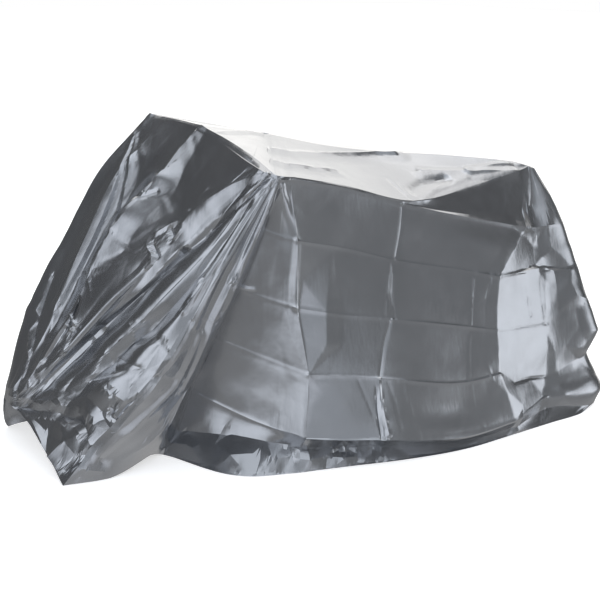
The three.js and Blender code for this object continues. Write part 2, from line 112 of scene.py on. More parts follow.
# ---- stand-off of the film from the plain drape, mm ---------------------------
# a row per section, a column per level
STANDOFF_LEVELS = [0, 0.5, 1, 1.5, 2, 2.5, 3, 3.5, 4, 4.5, 5, 5.5, 6, 7, 8]
STANDOFF = dict(
    rear_mid=[0.5, 0.8, 1.6, 2.6, 2, 0.3, -1.4, -0.5, 1.3, 0.3, -0.9, 0.4, 1.7, 0.6, -0.2],
    rear_edge=[0.7, 1.4, 3.3, 10.8, 4.7, -2.9, -8.3, -5.1, 5.6, 0.9, -5.7, 0.2, 10.2, 0.1, -1.6],
    rear_face=[0.5, 2.3, -1.7, 3.9, 2.5, -0.6, -1.3, 3.7, 6.3, 4.5, -0.2, 2.6, 8.7, -1.1, -2.4],
    rear_corner=[2.9, 1.6, 1.5, 0.8, 2.5, 9.3, 7.4, 2.6, 7.3, 7.1, 6.2, 12.1, 13, -3, -3.4],
    side_rear=[-1.2, 0.7, 6.1, -3.6, -11, 4.4, 7.4, 5.6, 4.2, 0.5, 7.9, -2.9, 11.1, -6, -19.5],
    side_mid=[-6, -2.5, 2.5, -1, -4.7, 1, -2.4, -5.8, -10.3, -18.6, -15.3, -16.4, 1.4, -6, -16.8],
    side_front=[-3.9, -3.1, -0.3, 0.1, -1.6, -0.9, 0.8, 3.8, 3.7, -0.3, -2.5, 0, 2.2, -6, -8.7],
    grip_corner=[-1.5, -1, 0.2, -0.2, -4.7, -8.3, -3.7, -4.5, -2.7, -3.7, -1.3, -6.6, -5, -1, -8.9],
    grip_cheek=[-0.6, -0.4, -0.3, -0.2, -0.4, 0, 0.4, 4, 7.8, 3.3, -0.4, -13.4, -17.8, -6, -2.7],
    grip_valley=[-0.3, -0.3, -0.5, 0, -0.3, -0.2, 5.6, 8.9, 13.4, 12.5, 7.6, 2, -7.6, -6, -9.3],
    bundle_edge=[0, -0.2, -0.2, -0.2, -0.4, -1.2, -1.7, 1.2, 2.5, 4.7, 3.4, 2.5, -2.9, -5.3, -6.9],
    bundle_crest=[0, 0, 0, -0.2, -0.5, -1.1, -1.9, -0.8, -1.2, 1.9, 0.1, 1.6, 2.2, -2.9, -5.2],
    bundle_low=[0, 0.1, 0.1, 0, 0, 0.4, 2.2, -2.7, -2.7, 1.1, -0.3, -0.9, -5.5, -0.4, 3.1],
    fan_crest_c=[0.1, 0.1, 0.2, 0.1, 0, 0.4, 1.3, -1.8, -4.9, 0.9, 2.7, 3.4, -3.1, -5.1, -1.2],
    fan_valley_b=[0.1, 0.2, 0.3, 0.2, 0.3, 1.6, 0.6, -1, -1.6, -7, -7.3, -1.3, -1.2, -0.8, 0.3],
    fan_crest_b=[0.2, 0.4, 0.7, 0.2, -1.1, -1.2, 0.2, 2.7, 5.7, -4.5, -6.2, -2.1, 0.7, 0.2, -1.1],
    fan_valley_a=[0.3, 0.8, 2.8, 1.5, -2.3, 5.7, 9.6, 16.8, 15.3, 6.3, 3.1, 0.4, -0.6, 1.9, -1.8],
    fan_crest_a=[0.3, 0.7, 3.4, 2.9, 0.1, 14.2, 16.7, 6.2, 0.9, 9.5, 8.2, 4.7, 0, 1.8, 1.2],
    front_bowl=[0, 0.2, 1.7, 4, 5.5, 10.5, 4, 3.9, 6.4, 8.1, 4, 1.5, 0, -0.3, 0.2],
    front_ridge=[-0.5, -1.1, -1.8, 2.5, 2.3, 2.5, -1.8, 8.5, -1.5, -7.3, -3.8, -0.2, 2.7, 0.1, 0],
    front_hollow=[-0.7, -1.4, -1, 1.7, 1.7, 9.7, -1.2, -1.1, 3.7, 1.3, 1.3, 5.2, 0.9, 0.4, 0.1],
    front_streak=[0, -1.6, -1.4, 1.8, 3.7, -0.9, 1.8, 3.2, 3.1, -0.5, -3.7, -2.7, 0.4, 0.2, 0],
    front_far=[-0.6, -1.3, -3.5, -1.2, 0.5, -1.3, 4.7, 4.3, 4.2, 1.3, -1.7, -2.4, 0, -0.1, -0.3],
    far_edge=[-0.5, -0.6, -0.4, -0.1, -1.6, -5.6, -3.3, -3.9, -2.1, -0.8, -0.4, -0.6, 0.2, -0.1, -0.2],
    far_nose=[0, -0.4, -0.4, -0.5, -0.8, -1.5, -1.4, -2.4, -2, -1.3, -0.8, -0.4, -0.1, -0.1, -0.1],
    far_cheek=[0, 0, 0, 0, 0, 0, 0, 0, 0, 0, 0, 0, 0, 0, 0],
    far_front_side=[0, 0, 0, 0, 0, 0, 0, 0, 0, 0, 0, 0, 0, 0, 0],
    far_mid=[0, 0.1, 0.1, 0, 0, 0, 0, 0, 0, 0, 0, 0, 0, 0, 0],
    far_rear=[0.1, 0.1, 0.1, 0, 0, 0, 0, 0, 0, 0, 0, 0, 0, 0, 0],
    far_corner=[0.2, 0.2, 0.3, 0, 0, 0, 0, 0, 0, 0, 0, 0, 0, 0, 0],
    rear_far=[0.3, 0.4, 0.7, 1.2, 0, 0, 0, 0, 0, 0, 0, 0, 0, 0, 0],
)

# ---- folds and creases -----------------------------------------------------
# name, line [(section, level), ...], half width mm at start and end,
# lean (how much wider the left half is), rise mm at start, middle and end,
# sharpness (0 soft, 1 crisp)
FOLDS = [
    ('streak_a', [(22.48, 2.32), (21.61, 2.65), (20.95, 2.97), (20.7, 3.32), (20.59, 3.66), (20.54, 3.98), (20.58, 4.23), (20.75, 4.44), (21.02, 4.68)], 14, 34, -0.4, 3.5, 10.7, 9.3, 0.8),
    ('streak_a_low', [(20.93, 4.82), (20.52, 5.01), (19.94, 5.25), (18.81, 5.52)], 18, 20, 0, 4.3, 3.8, 2.7, 0.8),
    ('streak_b', [(22.26, 2.34), (21.14, 2.61), (20.59, 2.92), (20.2, 3.2), (19.84, 3.49), (19.02, 3.8)], 12, 26, 0.2, 3, 4.8, 6.5, 0.8),
    ('streak_gap', [(20.73, 2.85), (20.34, 3.29), (19.96, 3.73), (19.75, 4.12)], 20, 34, 0, -0.3, -2.5, -0.6, 0.3),
    ('streak_side', [(21.52, 2.43), (20.32, 2.79), (19.84, 3.15)], 24, 30, 0, -2.1, -3.6, -0.4, 0.2),
    ('knob_line', [(21.92, 2.01), (20.79, 2.27), (20.27, 2.51)], 9, 9, 0, -0.3, -0.6, -0.3, 0.7),
    ('knob_tip', [(20.32, 2.52), (20.14, 2.68), (20, 2.81)], 10, 10, 0, 0.1, 0.6, 0.8, 0.8),
    ('knob_low', [(19.89, 2.85), (19.64, 2.78), (19.04, 2.81)], 9, 9, 0, 2.2, 2.4, 1.9, 0.8),
    ('bar_crest', [(18.96, 2.01), (18.96, 2.18), (18.98, 2.35), (18.96, 2.58), (18.95, 2.77)], 34, 60, 0.55, 8.5, 11.8, 15, 0.7),
    ('bar_crest_low', [(18.95, 2.86), (19, 3.05), (19.06, 3.25), (19.02, 3.47), (19, 3.65), (18.96, 3.92), (19.02, 4.15), (19.75, 4.39)], 64, 50, 0.6, 19, 23, 12.5, 0.8),
    ('bar_white', [(18.71, 2.99), (18.87, 3.12), (19.06, 3.25)], 12, 12, 0, -3.8, -4.3, -3.8, 0.8),
    ('panel_edge', [(18.68, 3), (18.34, 3.07), (18.06, 3.14)], 20, 22, 0, 0.4, 1, 0.6, 0.8),
    ('panel_low', [(18.06, 3.14), (18.22, 3.31), (18.3, 3.52), (18.34, 3.77)], 22, 28, 0, 0.5, 1.4, 0.6, 0.8),
    ('panel_mid', [(18.88, 3.86), (18.61, 3.8), (18.34, 3.77)], 20, 20, 0, -0.4, -1.5, -3.6, 0.8),
    ('panel_tail', [(18.32, 3.78), (18.56, 4.02), (18.82, 4.18), (19.09, 4.36)], 20, 20, 0, 1.5, 0.7, 0.4, 0.8),
    ('dark_band', [(17.37, 2.8), (17.79, 3.13), (18.1, 3.47), (18.31, 3.85), (18.72, 4.22)], 26, 34, 0, -0.7, -1.8, -1.8, 0.4),
    ('mid_line', [(17.38, 3.01), (17.42, 3.19), (17.68, 3.3), (17.9, 3.44)], 12, 12, 0, 4.5, 8.4, 7, 0.9),
    ('mid_line_low', [(17.96, 3.57), (18.17, 3.81), (18.41, 4.08), (18.87, 4.35)], 16, 18, 0, 1.6, 1.2, 0.2, 0.8),
    ('dark_split', [(18.31, 2.18), (17.92, 2.33), (17.48, 2.47), (17.16, 2.66)], 10, 10, 0, -0.1, -0.4, -0.1, 0.8),
    ('dark_tick', [(17.39, 2.56), (17.37, 2.68), (17.37, 2.8)], 9, 9, 0, 1, 2.2, 2.3, 0.9),
    ('dark_lower', [(16.55, 2.03), (17.02, 2.21), (17.15, 2.39), (17.4, 2.68)], 10, 12, 0, -0.9, -2.6, -2.5, 0.7),
    ('panel_shade', [(18.87, 2.14), (18.36, 2.36), (17.84, 2.64), (17.52, 2.88)], 20, 20, 0, -1.8, -0.5, -1, 0.4),
    ('panel_step', [(18.68, 2.9), (18.21, 2.91), (17.55, 2.93)], 20, 20, 0, 0.1, 0.5, 0.5, 0.7),
    ('fan_outer', [(13.06, 1.55), (15, 2.04), (16.01, 2.12), (16.47, 2.22), (16.75, 2.33), (16.93, 2.47), (17.02, 2.61), (17.07, 2.74), (17.13, 2.87), (17.18, 3.07), (17.19, 3.21)], 9, 40, 0.45, 3.4, 6.5, 10.2, 0.8),
    ('fan_a_low', [(14.06, 2.09), (15.01, 2.26), (15.67, 2.5), (16.13, 2.79), (16.22, 3.02), (16.22, 3.32), (16.18, 3.52)], 9, 24, -0.3, 5.1, 1.2, 1.7, 0.8),
    ('dark_a1', [(13.34, 2.04), (14.71, 2.29), (15.39, 2.52), (15.94, 2.87), (16.12, 3.44)], 9, 26, 0, -5.9, -7, -10.4, 0.8),
    ('dark_a2', [(16.12, 3.44), (15.92, 3.95), (15.86, 4.34), (15.84, 4.73), (15.9, 5.1)], 26, 30, 0, -17.7, -16.9, -13.5, 0.8),
    ('dark_a3', [(15.9, 5.1), (16.14, 5.43), (16.38, 5.75), (16.72, 6.17), (16.71, 7.33)], 30, 24, 0, -12, -10.8, -9.6, 0.8),
    ('crest_b', [(12.55, 2.07), (13.87, 2.26), (14.72, 2.49), (15.21, 2.74), (15.41, 3.1), (15.5, 3.49), (15.55, 3.88), (15.39, 4.14)], 10, 36, 0, 3.1, 1.1, 0.6, 0.3),
    ('dark_c', [(12.37, 2.19), (13.03, 2.45), (13.83, 2.69), (14.17, 2.92), (14.14, 3.22), (13.62, 3.55), (13.08, 3.87)], 9, 26, 0, -3.4, -3.5, -5.2, 0.4),
    ('white_rib', [(11.94, 2.05), (12.64, 2.31), (13.23, 2.54), (13.32, 2.79), (13.35, 3.06), (13.24, 3.32), (13.17, 3.53)], 9, 16, 0, 4.5, 5.4, 5.9, 1),
    ('white_rib_low', [(13.17, 3.53), (13.07, 3.73), (12.88, 3.99)], 16, 18, 0, 5.5, 5.9, 5.4, 1),
    ('rib_groove1', [(11.89, 2.31), (12.08, 2.57), (12.37, 2.85), (12.4, 3.14), (12.36, 3.41)], 9, 14, 0, -1, -0.7, -2.6, 0.5),
    ('rib_1', [(11.53, 2.16), (11.71, 2.45), (11.88, 2.74), (11.94, 2.99), (11.95, 3.32), (11.87, 3.68), (11.78, 3.96), (11.68, 4.24)], 9, 22, 0, 6.3, 8.4, 4.4, 0.5),
    ('rib_groove2', [(10.71, 2.19), (10.75, 2.56), (10.86, 2.89), (10.95, 3.13), (11.06, 3.41), (11.15, 3.72)], 9, 18, 0, -1.4, -2.3, -0.4, 0.5),
    ('rib_2', [(10.08, 2.1), (10.31, 2.38), (10.35, 2.71), (10.45, 3.08), (10.52, 3.34), (10.74, 3.55)], 9, 22, 0, 3.7, 6.6, 8.5, 0.5),
    ('rib_2_low', [(10.74, 3.55), (10.85, 3.82), (10.87, 4.11), (10.63, 4.64), (10.31, 5.36), (10.28, 5.71)], 22, 30, 0, 7.9, 9.9, 8.3, 0.5),
    ('cheek_edge', [(8.88, 2.16), (9.66, 2.7), (9.98, 3.17), (10, 3.48), (9.86, 3.82), (9.58, 4.2), (9.57, 4.61), (9.73, 4.98)], 9, 18, 0, -4.2, -5, -5.4, 0.8),
    ('rib_groove3', [(12.38, 3.25), (12.28, 3.54), (12.12, 3.91), (12, 4.33)], 12, 18, 0, -1.7, -0.9, -0.5, 0.7),
    ('dark_d1', [(11.96, 4.25), (11.93, 4.53), (11.99, 4.79), (12, 5), (12, 5.23)], 12, 22, 0, -4.8, -6.8, -8.8, 0.8),
    ('dark_d2', [(12, 5.23), (12, 5.5), (12, 5.75), (11.99, 6.01), (12, 6.5), (12.15, 7.12), (12.45, 7.7)], 22, 26, 0, -14.1, -15.7, -11.7, 0.8),
    ('bundle_nick', [(11.46, 4.1), (11.14, 4.01), (10.42, 4.23)], 9, 9, 0, 1.6, 1.1, 1.8, 0.9),
    ('cheek_nick', [(10.05, 3.96), (8.75, 3.95), (8.49, 3.92)], 9, 9, 0, 2.4, 3.2, 2, 1),
    ('pinch_1', [(18.04, 3.59), (17.68, 3.69), (17.3, 3.78)], 14, 14, 0, 0.6, 5, 4.8, 0.9),
    ('pinch_2', [(17.3, 3.78), (17.06, 3.9), (17.04, 4)], 9, 9, 0, 3, 4.7, 4.7, 0.9),
    ('pinch_dark', [(17.7, 3.6), (17.33, 3.71), (17.05, 3.78)], 12, 12, 0, -6, -7.8, -7.2, 0.7),
    ('pinch_3', [(17.7, 3.6), (17.53, 3.52), (17.52, 3.41), (17.51, 3.34)], 9, 9, 0, 0.3, 0.9, 2.1, 0.9),
    ('pinch_hole', [(17.51, 3.34), (17.24, 3.42), (17.11, 3.49)], 12, 12, 0, -7.1, -9.3, -6.5, 0.7),
    ('pinch_4', [(17.14, 3.48), (17.07, 3.41), (17.07, 3.31)], 9, 9, 0, 4.2, 5.1, 3.9, 0.9),
    ('kink', [(19.84, 4.41), (18.96, 4.36)], 10, 10, 0, 4.8, 4.4, 1.3, 0.9),
    ('kink_line', [(18.96, 4.36), (18.52, 4.18), (18.06, 3.96)], 10, 10, 0, -1.9, -0.6, -0.1, 0.8),
    ('kink_edge', [(19.54, 4.44), (18.71, 4.51), (18.41, 4.58)], 10, 10, 0, 3.5, 2.5, 0.9, 0.8),
    ('band_upper', [(17.22, 3.81), (17.12, 4.12), (17.16, 4.46), (17.25, 4.82), (17.28, 5.16), (17.27, 5.46)], 20, 26, 0, 4.6, 7.7, 8.5, 0.8),
    ('low_valley', [(18.95, 4.76), (18.8, 4.99), (18.58, 5.26), (18.76, 5.53)], 22, 26, 0, -10, -10.4, -12.4, 0.5),
    ('low_p1', [(19.85, 4.9), (18.68, 4.97), (18.18, 4.99)], 9, 9, 0, 3.5, 5.2, 5.8, 0.9),
    ('low_p2', [(18.92, 5.07), (18.42, 5.08), (17.98, 5.09)], 9, 9, 0, 4, 3.9, 4.4, 0.9),
    ('low_p3', [(17.93, 5.11), (17.63, 5.29), (17.23, 5.49)], 9, 9, 0, 4, 5.4, 4.6, 0.9),
    ('low_p4', [(18.52, 5.35), (18.54, 5.23), (18.42, 5.13)], 9, 9, 0, 1.4, 3.7, 4, 0.9),
    ('low_hook', [(18.32, 5.77), (17.94, 5.68), (17.26, 5.62)], 20, 20, 0, 6.3, 4.2, 2, 0.9),
    ('low_hook_dark', [(17.12, 5.95), (16.79, 5.82), (16.7, 5.65)], 20, 20, 0, -2.8, -2.7, -2.2, 0.7),
    ('left_1', [(22.26, 4.7), (22.33, 4.77), (21.92, 4.87)], 9, 9, 0, 3.1, 3.8, 1.9, 0.8),
    ('left_2', [(22, 4.87), (22.16, 5.01), (21.91, 5.27)], 9, 9, 0, 1.3, 3.6, 3, 0.8),
    ('left_3', [(21.77, 5.33), (21.07, 5.58), (20.36, 5.81)], 9, 9, 0, 2.4, 6.3, 6.3, 0.8),
    ('left_dark', [(22.32, 4.38), (22.12, 4.72), (21.77, 5.1), (21.04, 5.64), (19.24, 6.89)], 14, 18, 0, -4.9, -5.6, -8.8, 0.7),
    ('left_low', [(19.75, 5.94), (18.96, 5.85), (17.36, 6.21)], 9, 9, 0, 4.1, 2.8, 1.1, 0.8),
    ('gather_1', [(12.65, 5.18), (13.31, 5.35), (14.08, 5.59)], 20, 20, 0, -5, -5, -5, 0.8),
    ('gather_2', [(14.08, 5.59), (14.76, 5.91), (15.58, 6.7), (16.73, 7.63)], 20, 20, 0, -5, -5, -5, 0.8),
    ('s_pinch1', [(13.02, 5.6), (12.75, 5.62), (12.53, 5.71), (12.52, 5.81)], 12, 12, 0, -6, -6, -6, 0.7),
    ('s_pinch2', [(12.52, 5.81), (12.45, 5.9), (12.25, 5.88), (12.28, 5.77), (12.28, 5.65), (12.19, 5.56), (12.03, 5.52)], 12, 12, 0, -7.6, -8.7, -6.3, 0.7),
    ('bundle_dark', [(12.05, 5.51), (11.38, 5.41), (10.49, 5.6)], 20, 20, 0, -1.1, -1.5, -0.3, 0.8),
    ('flap', [(16.96, 7.83), (15.29, 7.27), (14.3, 6.7), (13.55, 6.48), (12.92, 6.52), (12.69, 6.57)], 30, 30, 0, -18, -18, -16, 0.7),
    ('bundle_hi', [(11.18, 4.33), (11, 4.81), (10.85, 5.28), (11.15, 5.64), (11.46, 6.14), (11.66, 6.98)], 26, 26, 0, 6.6, 8.3, 6.1, 0.3),
    ('bundle_side', [(10.07, 5.95), (10.29, 6.37), (10.66, 6.57), (11.06, 6.86)], 22, 22, 0, -3.6, -2.9, -2, 0.3),
    ('corner_hi', [(8.46, 2.11), (7.63, 2.39), (7.25, 2.67), (7, 2.98)], 20, 20, -0.2, 5, 4.2, 0.6, 0.4),
    ('corner_mid', [(7, 3.01), (7.04, 3.32), (7.1, 3.67), (7.08, 4)], 24, 24, 0, 2.1, 3.5, 3.4, 0.2),
    ('shade_1', [(8.37, 2.05), (6.87, 2.39), (6.49, 2.74), (6.07, 3.02)], 22, 22, 0, -1, -0.4, -0.1, 0.2),
    ('cheek_low1', [(8.98, 5.64), (8.77, 5.73), (8.57, 5.87), (8.5, 5.98)], 20, 20, 0, 0.8, 0.4, 0.1, 0.6),
    ('cheek_low2', [(7.54, 5.14), (7.67, 5.46), (7.92, 5.94)], 20, 20, 0, 0.2, 0.6, 0.4, 0.4),
    ('corner_low', [(7, 5.05), (7, 5.38), (7, 5.95)], 20, 20, 0, 0.6, 1.4, 0.9, 0.3),
    ('wall_v1', [(4.98, 2.05), (4.99, 2.4), (5.01, 2.84), (5.01, 3)], 9, 9, 0, -1.2, -1.4, -1.2, 1),
    ('wall_v2', [(5.12, 3.07), (5.11, 3.54), (5.09, 3.94)], 9, 9, 0, 0.9, 1.3, 0.9, 1),
    ('wall_v2b', [(5.04, 3.11), (5.03, 3.53), (4.97, 3.99)], 9, 9, 0, -1, -1.4, -1, 1),
    ('wall_v3', [(5.02, 4.07), (5.03, 4.37), (5.01, 4.96)], 9, 9, 0, -1.6, -2, -1.6, 1),
    ('wall_sliver', [(5.03, 5.07), (4.98, 5.52), (4.95, 5.94)], 10, 12, 0, 3.3, 7.7, 8.4, 0.8),
    ('wall_sliver2', [(5.11, 5.12), (5.08, 5.52), (5.05, 5.95)], 9, 9, 0, -0.6, -6.3, -5, 0.8),
    ('shade_2', [(5.79, 3.11), (5.58, 3.32), (5.26, 3.64)], 20, 20, 0, -0.1, -0.6, -0.1, 0.2),
    ('wall_low1', [(5.54, 5.08), (5.41, 5.28), (5.23, 5.6)], 10, 10, 0, -0.8, -0.8, -0.8, 0.6),
    ('wall_low2', [(4.92, 5.06), (4.84, 5.43), (4.81, 5.85)], 10, 10, 0, -0.8, -0.8, -0.8, 0.6),
    ('wall_low3', [(4.73, 5.1), (4.68, 5.5), (4.62, 5.98)], 10, 10, 0, 0.8, 0.8, 0.8, 0.6),
    ('wall_low4', [(3.94, 5.08), (3.83, 5.57), (3.71, 5.99)], 9, 9, 0, 0.8, 0.8, 0.8, 0.6),
    ('wall_r1', [(4, 3.11), (4.01, 3.53), (4, 3.98)], 9, 9, 0, 1.2, 1.2, 1.2, 0.8),
    ('wall_r2', [(3.33, 3.07), (3.42, 3.41)], 9, 9, 0, -1, -1, -1, 0.8),
    ('wall_r3', [(3.42, 4.7), (3.31, 4.92), (3.26, 5.1)], 9, 9, 0, 0.8, 0.8, 0.8, 0.8),
    ('wall_r4', [(4, 4.16), (4, 4.53), (4, 4.94)], 9, 9, 0, 0.8, 0.8, 0.8, 0.8),
    ('tail_tick', [(3.04, 1.16), (3.28, 1.51), (3.42, 1.95)], 9, 9, 0, 1.2, 1.9, 1.6, 0.7),
    ('tail_tick2', [(2.4, 1.26), (2.84, 1.5), (3.02, 1.74)], 9, 9, 0, -1.6, -0.6, -0.7, 0.7),
    ('tail_c1', [(1.99, 2), (1.61, 2), (1.16, 1.98)], 9, 9, 0, 1.3, 1.1, 0.3, 0.9),
    ('tail_c2', [(2.99, 2.98), (2.64, 2.98), (2.32, 2.96), (1.99, 2.97), (1.67, 3), (1.34, 3.03)], 9, 9, 0, 1.3, 5.1, 0.4, 0.9),
    ('panel_v1', [(2.15, 3.2), (2.1, 3.58), (2.04, 3.99)], 9, 9, 0, -0.6, -0.7, -0.8, 0.8),
    ('panel_v2', [(2.44, 3.12), (2.38, 3.45), (2.32, 3.88)], 9, 9, 0, 0.3, 1, 1.4, 0.8),
    ('panel_c', [(2.98, 4.02), (2.62, 4.01), (2.21, 4.03), (2, 4.02)], 9, 9, 0, -0.5, -1.5, -1.5, 0.9),
    ('panel_c3', [(2.75, 5.21), (2.38, 5.12), (1.99, 5.09)], 9, 9, 0, -1.9, -2.8, -1.4, 0.9),
    ('roof_1', [(10.83, 0.4), (7.69, 0.4), (6.96, 0.41), (6.71, 0.36), (6.45, 0.32), (6.19, 0.29), (5.99, 0.26), (5.83, 0.22), (5.66, 0.18), (5.5, 0.15), (5.31, 0.11), (5.12, 0.07), (4.95, 0.06), (4.74, 0.03)], 36, 42, -0.34, 7, 7, 7, 0.9),
    ('roof_2', [(10.54, 0.69), (8.03, 0.72), (7.15, 0.74), (6.85, 0.73), (6.67, 0.73), (6.48, 0.74), (6.24, 0.7), (6.01, 0.68)], 36, 36, -0.34, 5.6, 5.8, 5.5, 0.9),
    ('roof_line_1', [(6.19, 0.29), (5.83, 0.22), (5.5, 0.15), (5.12, 0.07), (4.8, 0.04)], 13, 17, 0, 3, 6, 6.5, 0.9),
    ('roof_line_2', [(7.15, 0.74), (6.67, 0.73), (6.24, 0.7), (6.01, 0.68)], 14, 14, 0, 3, 5.5, 3, 0.9),
    ('roof_3', [(18.46, 0.83), (18.48, 0.64), (18.52, 0.45), (18.66, 0.21), (16.91, 0)], 30, 30, -0.34, 5.2, 5.3, 4.9, 0.9),
    ('roof_4', [(4.57, 0.42), (4.42, 0.43), (4.29, 0.47), (4.12, 0.51), (3.96, 0.55), (3.76, 0.62), (3.6, 0.63), (3.44, 0.69), (3.3, 0.77), (3.06, 0.92)], 36, 36, -0.34, 6, 6, 6, 0.9),
    ('roof_5', [(3.85, 0.49), (3.66, 0.45), (3.46, 0.45), (3.24, 0.38), (3.02, 0.34)], 28, 28, -0.34, 6, 6, 4, 0.9),
    ('roof_wedge', [(4.86, 0.81), (4.63, 0.69), (4.47, 0.68), (4.29, 0.68)], 38, 34, 0, -6, -6.6, -7, 0.5),
    ('roof_lip', [(4.78, 0.98), (4.62, 0.86), (4.48, 0.81), (4.34, 0.78), (4.17, 0.77), (4.01, 0.75)], 24, 24, 0, 2, 2, 2, 0.7),
    ('roof_tick1', [(5.14, 0.59), (5.09, 0.71), (5.04, 0.81), (4.99, 0.9), (4.94, 0.99)], 9, 9, 0, -2, -2.1, -1, 0.8),
    ('roof_tick2', [(5, 0.64), (4.98, 0.75), (4.95, 0.88), (4.84, 1.48)], 9, 9, 0, -1.5, -1.3, -0.1, 0.8),
    ('eave_tail', [(3, 2), (4, 2), (5, 2)], 10, 10, 0.3, 1.8, 1.8, 2.8, 0.9),
    ('eave_front', [(5, 2), (6, 2), (7, 2)], 10, 10, 0.3, 2.6, 2.8, 1.8, 0.9),
    ('eave_cheek', [(7, 2), (8, 2), (9, 2)], 9, 9, 0.2, 1.1, 1.4, 1.3, 0.9),
    ('crease1_tail', [(3, 3), (4, 3), (5, 3)], 10, 10, 0.3, 1.8, 1.8, 1.8, 0.9),
    ('crease1_front', [(5, 3), (6, 3), (7, 3)], 10, 10, 0.3, 1.8, 1.8, 1.8, 0.9),
    ('crease1_cheek', [(7, 3), (8, 3), (9, 3)], 9, 9, 0.2, 0.9, 0.9, 0.9, 0.9),
    ('crease2_tail', [(3, 4), (4, 4), (5, 4)], 10, 10, 0.3, 1.8, 2.6, 1.8, 0.9),
    ('crease2_front', [(5, 4), (6, 4), (7, 4)], 10, 10, 0.3, 1.8, 1.8, 1.8, 0.9),
    ('crease2_cheek', [(7, 4), (8, 4), (9, 4)], 9, 9, 0.2, 0.9, 0.9, 0.9, 0.9),
    ('crease3_tail', [(3, 5), (4, 5), (5, 5)], 10, 10, 0.3, 2.8, 2.8, 1.8, 0.9),
    ('crease3_front', [(5, 5), (6, 5), (7, 5)], 10, 10, 0.3, 1.8, 1.8, 1.8, 0.9),
    ('crease3_cheek', [(7, 5), (8, 5), (9.3, 5)], 9, 9, 0.2, 0.9, 0.9, 0.9, 0.9),
    ('foot_tail', [(2, 6), (3, 6), (4, 6), (5, 6)], 10, 10, 0.3, 1.8, 2.8, 2.8, 0.9),
    ('foot_front', [(5, 6), (6, 6), (7, 6)], 10, 10, 0.3, 1.8, 1.8, 1.8, 0.9),
    ('foot_cheek', [(7, 6), (8, 6), (9, 6)], 9, 9, 0.2, 0.9, 0.9, 1.4, 0.9),
    ('far_crease_1', [(25.4, 2.1), (25.42, 4), (25.38, 5.9)], 40, 40, 0, 2, 2.6, 2, 0.5),
    ('far_crease_2', [(26.3, 2.1), (26.32, 4), (26.36, 5.9)], 40, 40, 0, -2, -2.6, -2, 0.5),
    ('far_crease_3', [(27.2, 2.1), (27.18, 4), (27.14, 5.9)], 40, 40, 0, 2, 2.6, 2, 0.5),
    ('far_crease_4', [(28.1, 2.1), (28.12, 4), (28.1, 5.9)], 40, 40, 0, -2, -2.6, -2, 0.5),
    ('far_drape_1', [(24.9, 2.2), (25.2, 4), (25.7, 6)], 60, 110, 0, 3, 14, 18, 0.3),
    ('far_drape_2', [(26.8, 2.3), (26.8, 4.2), (26.6, 6)], 70, 120, 0, 3, 12, 16, 0.3),
    ('far_drape_3', [(28.2, 2.3), (27.9, 4), (27.6, 6)], 60, 110, 0, -3, -12, -14, 0.3),
    ('far_drape_4', [(25.3, 2.2), (25.9, 3.6), (26.3, 5.6)], 60, 100, 0, -3, -10, -10, 0.3),
    ('far_dent', [(26.1, 3.2), (26.6, 3.55), (27.1, 3.35)], 70, 70, 0, -4, -9, -4, 0.3),
]
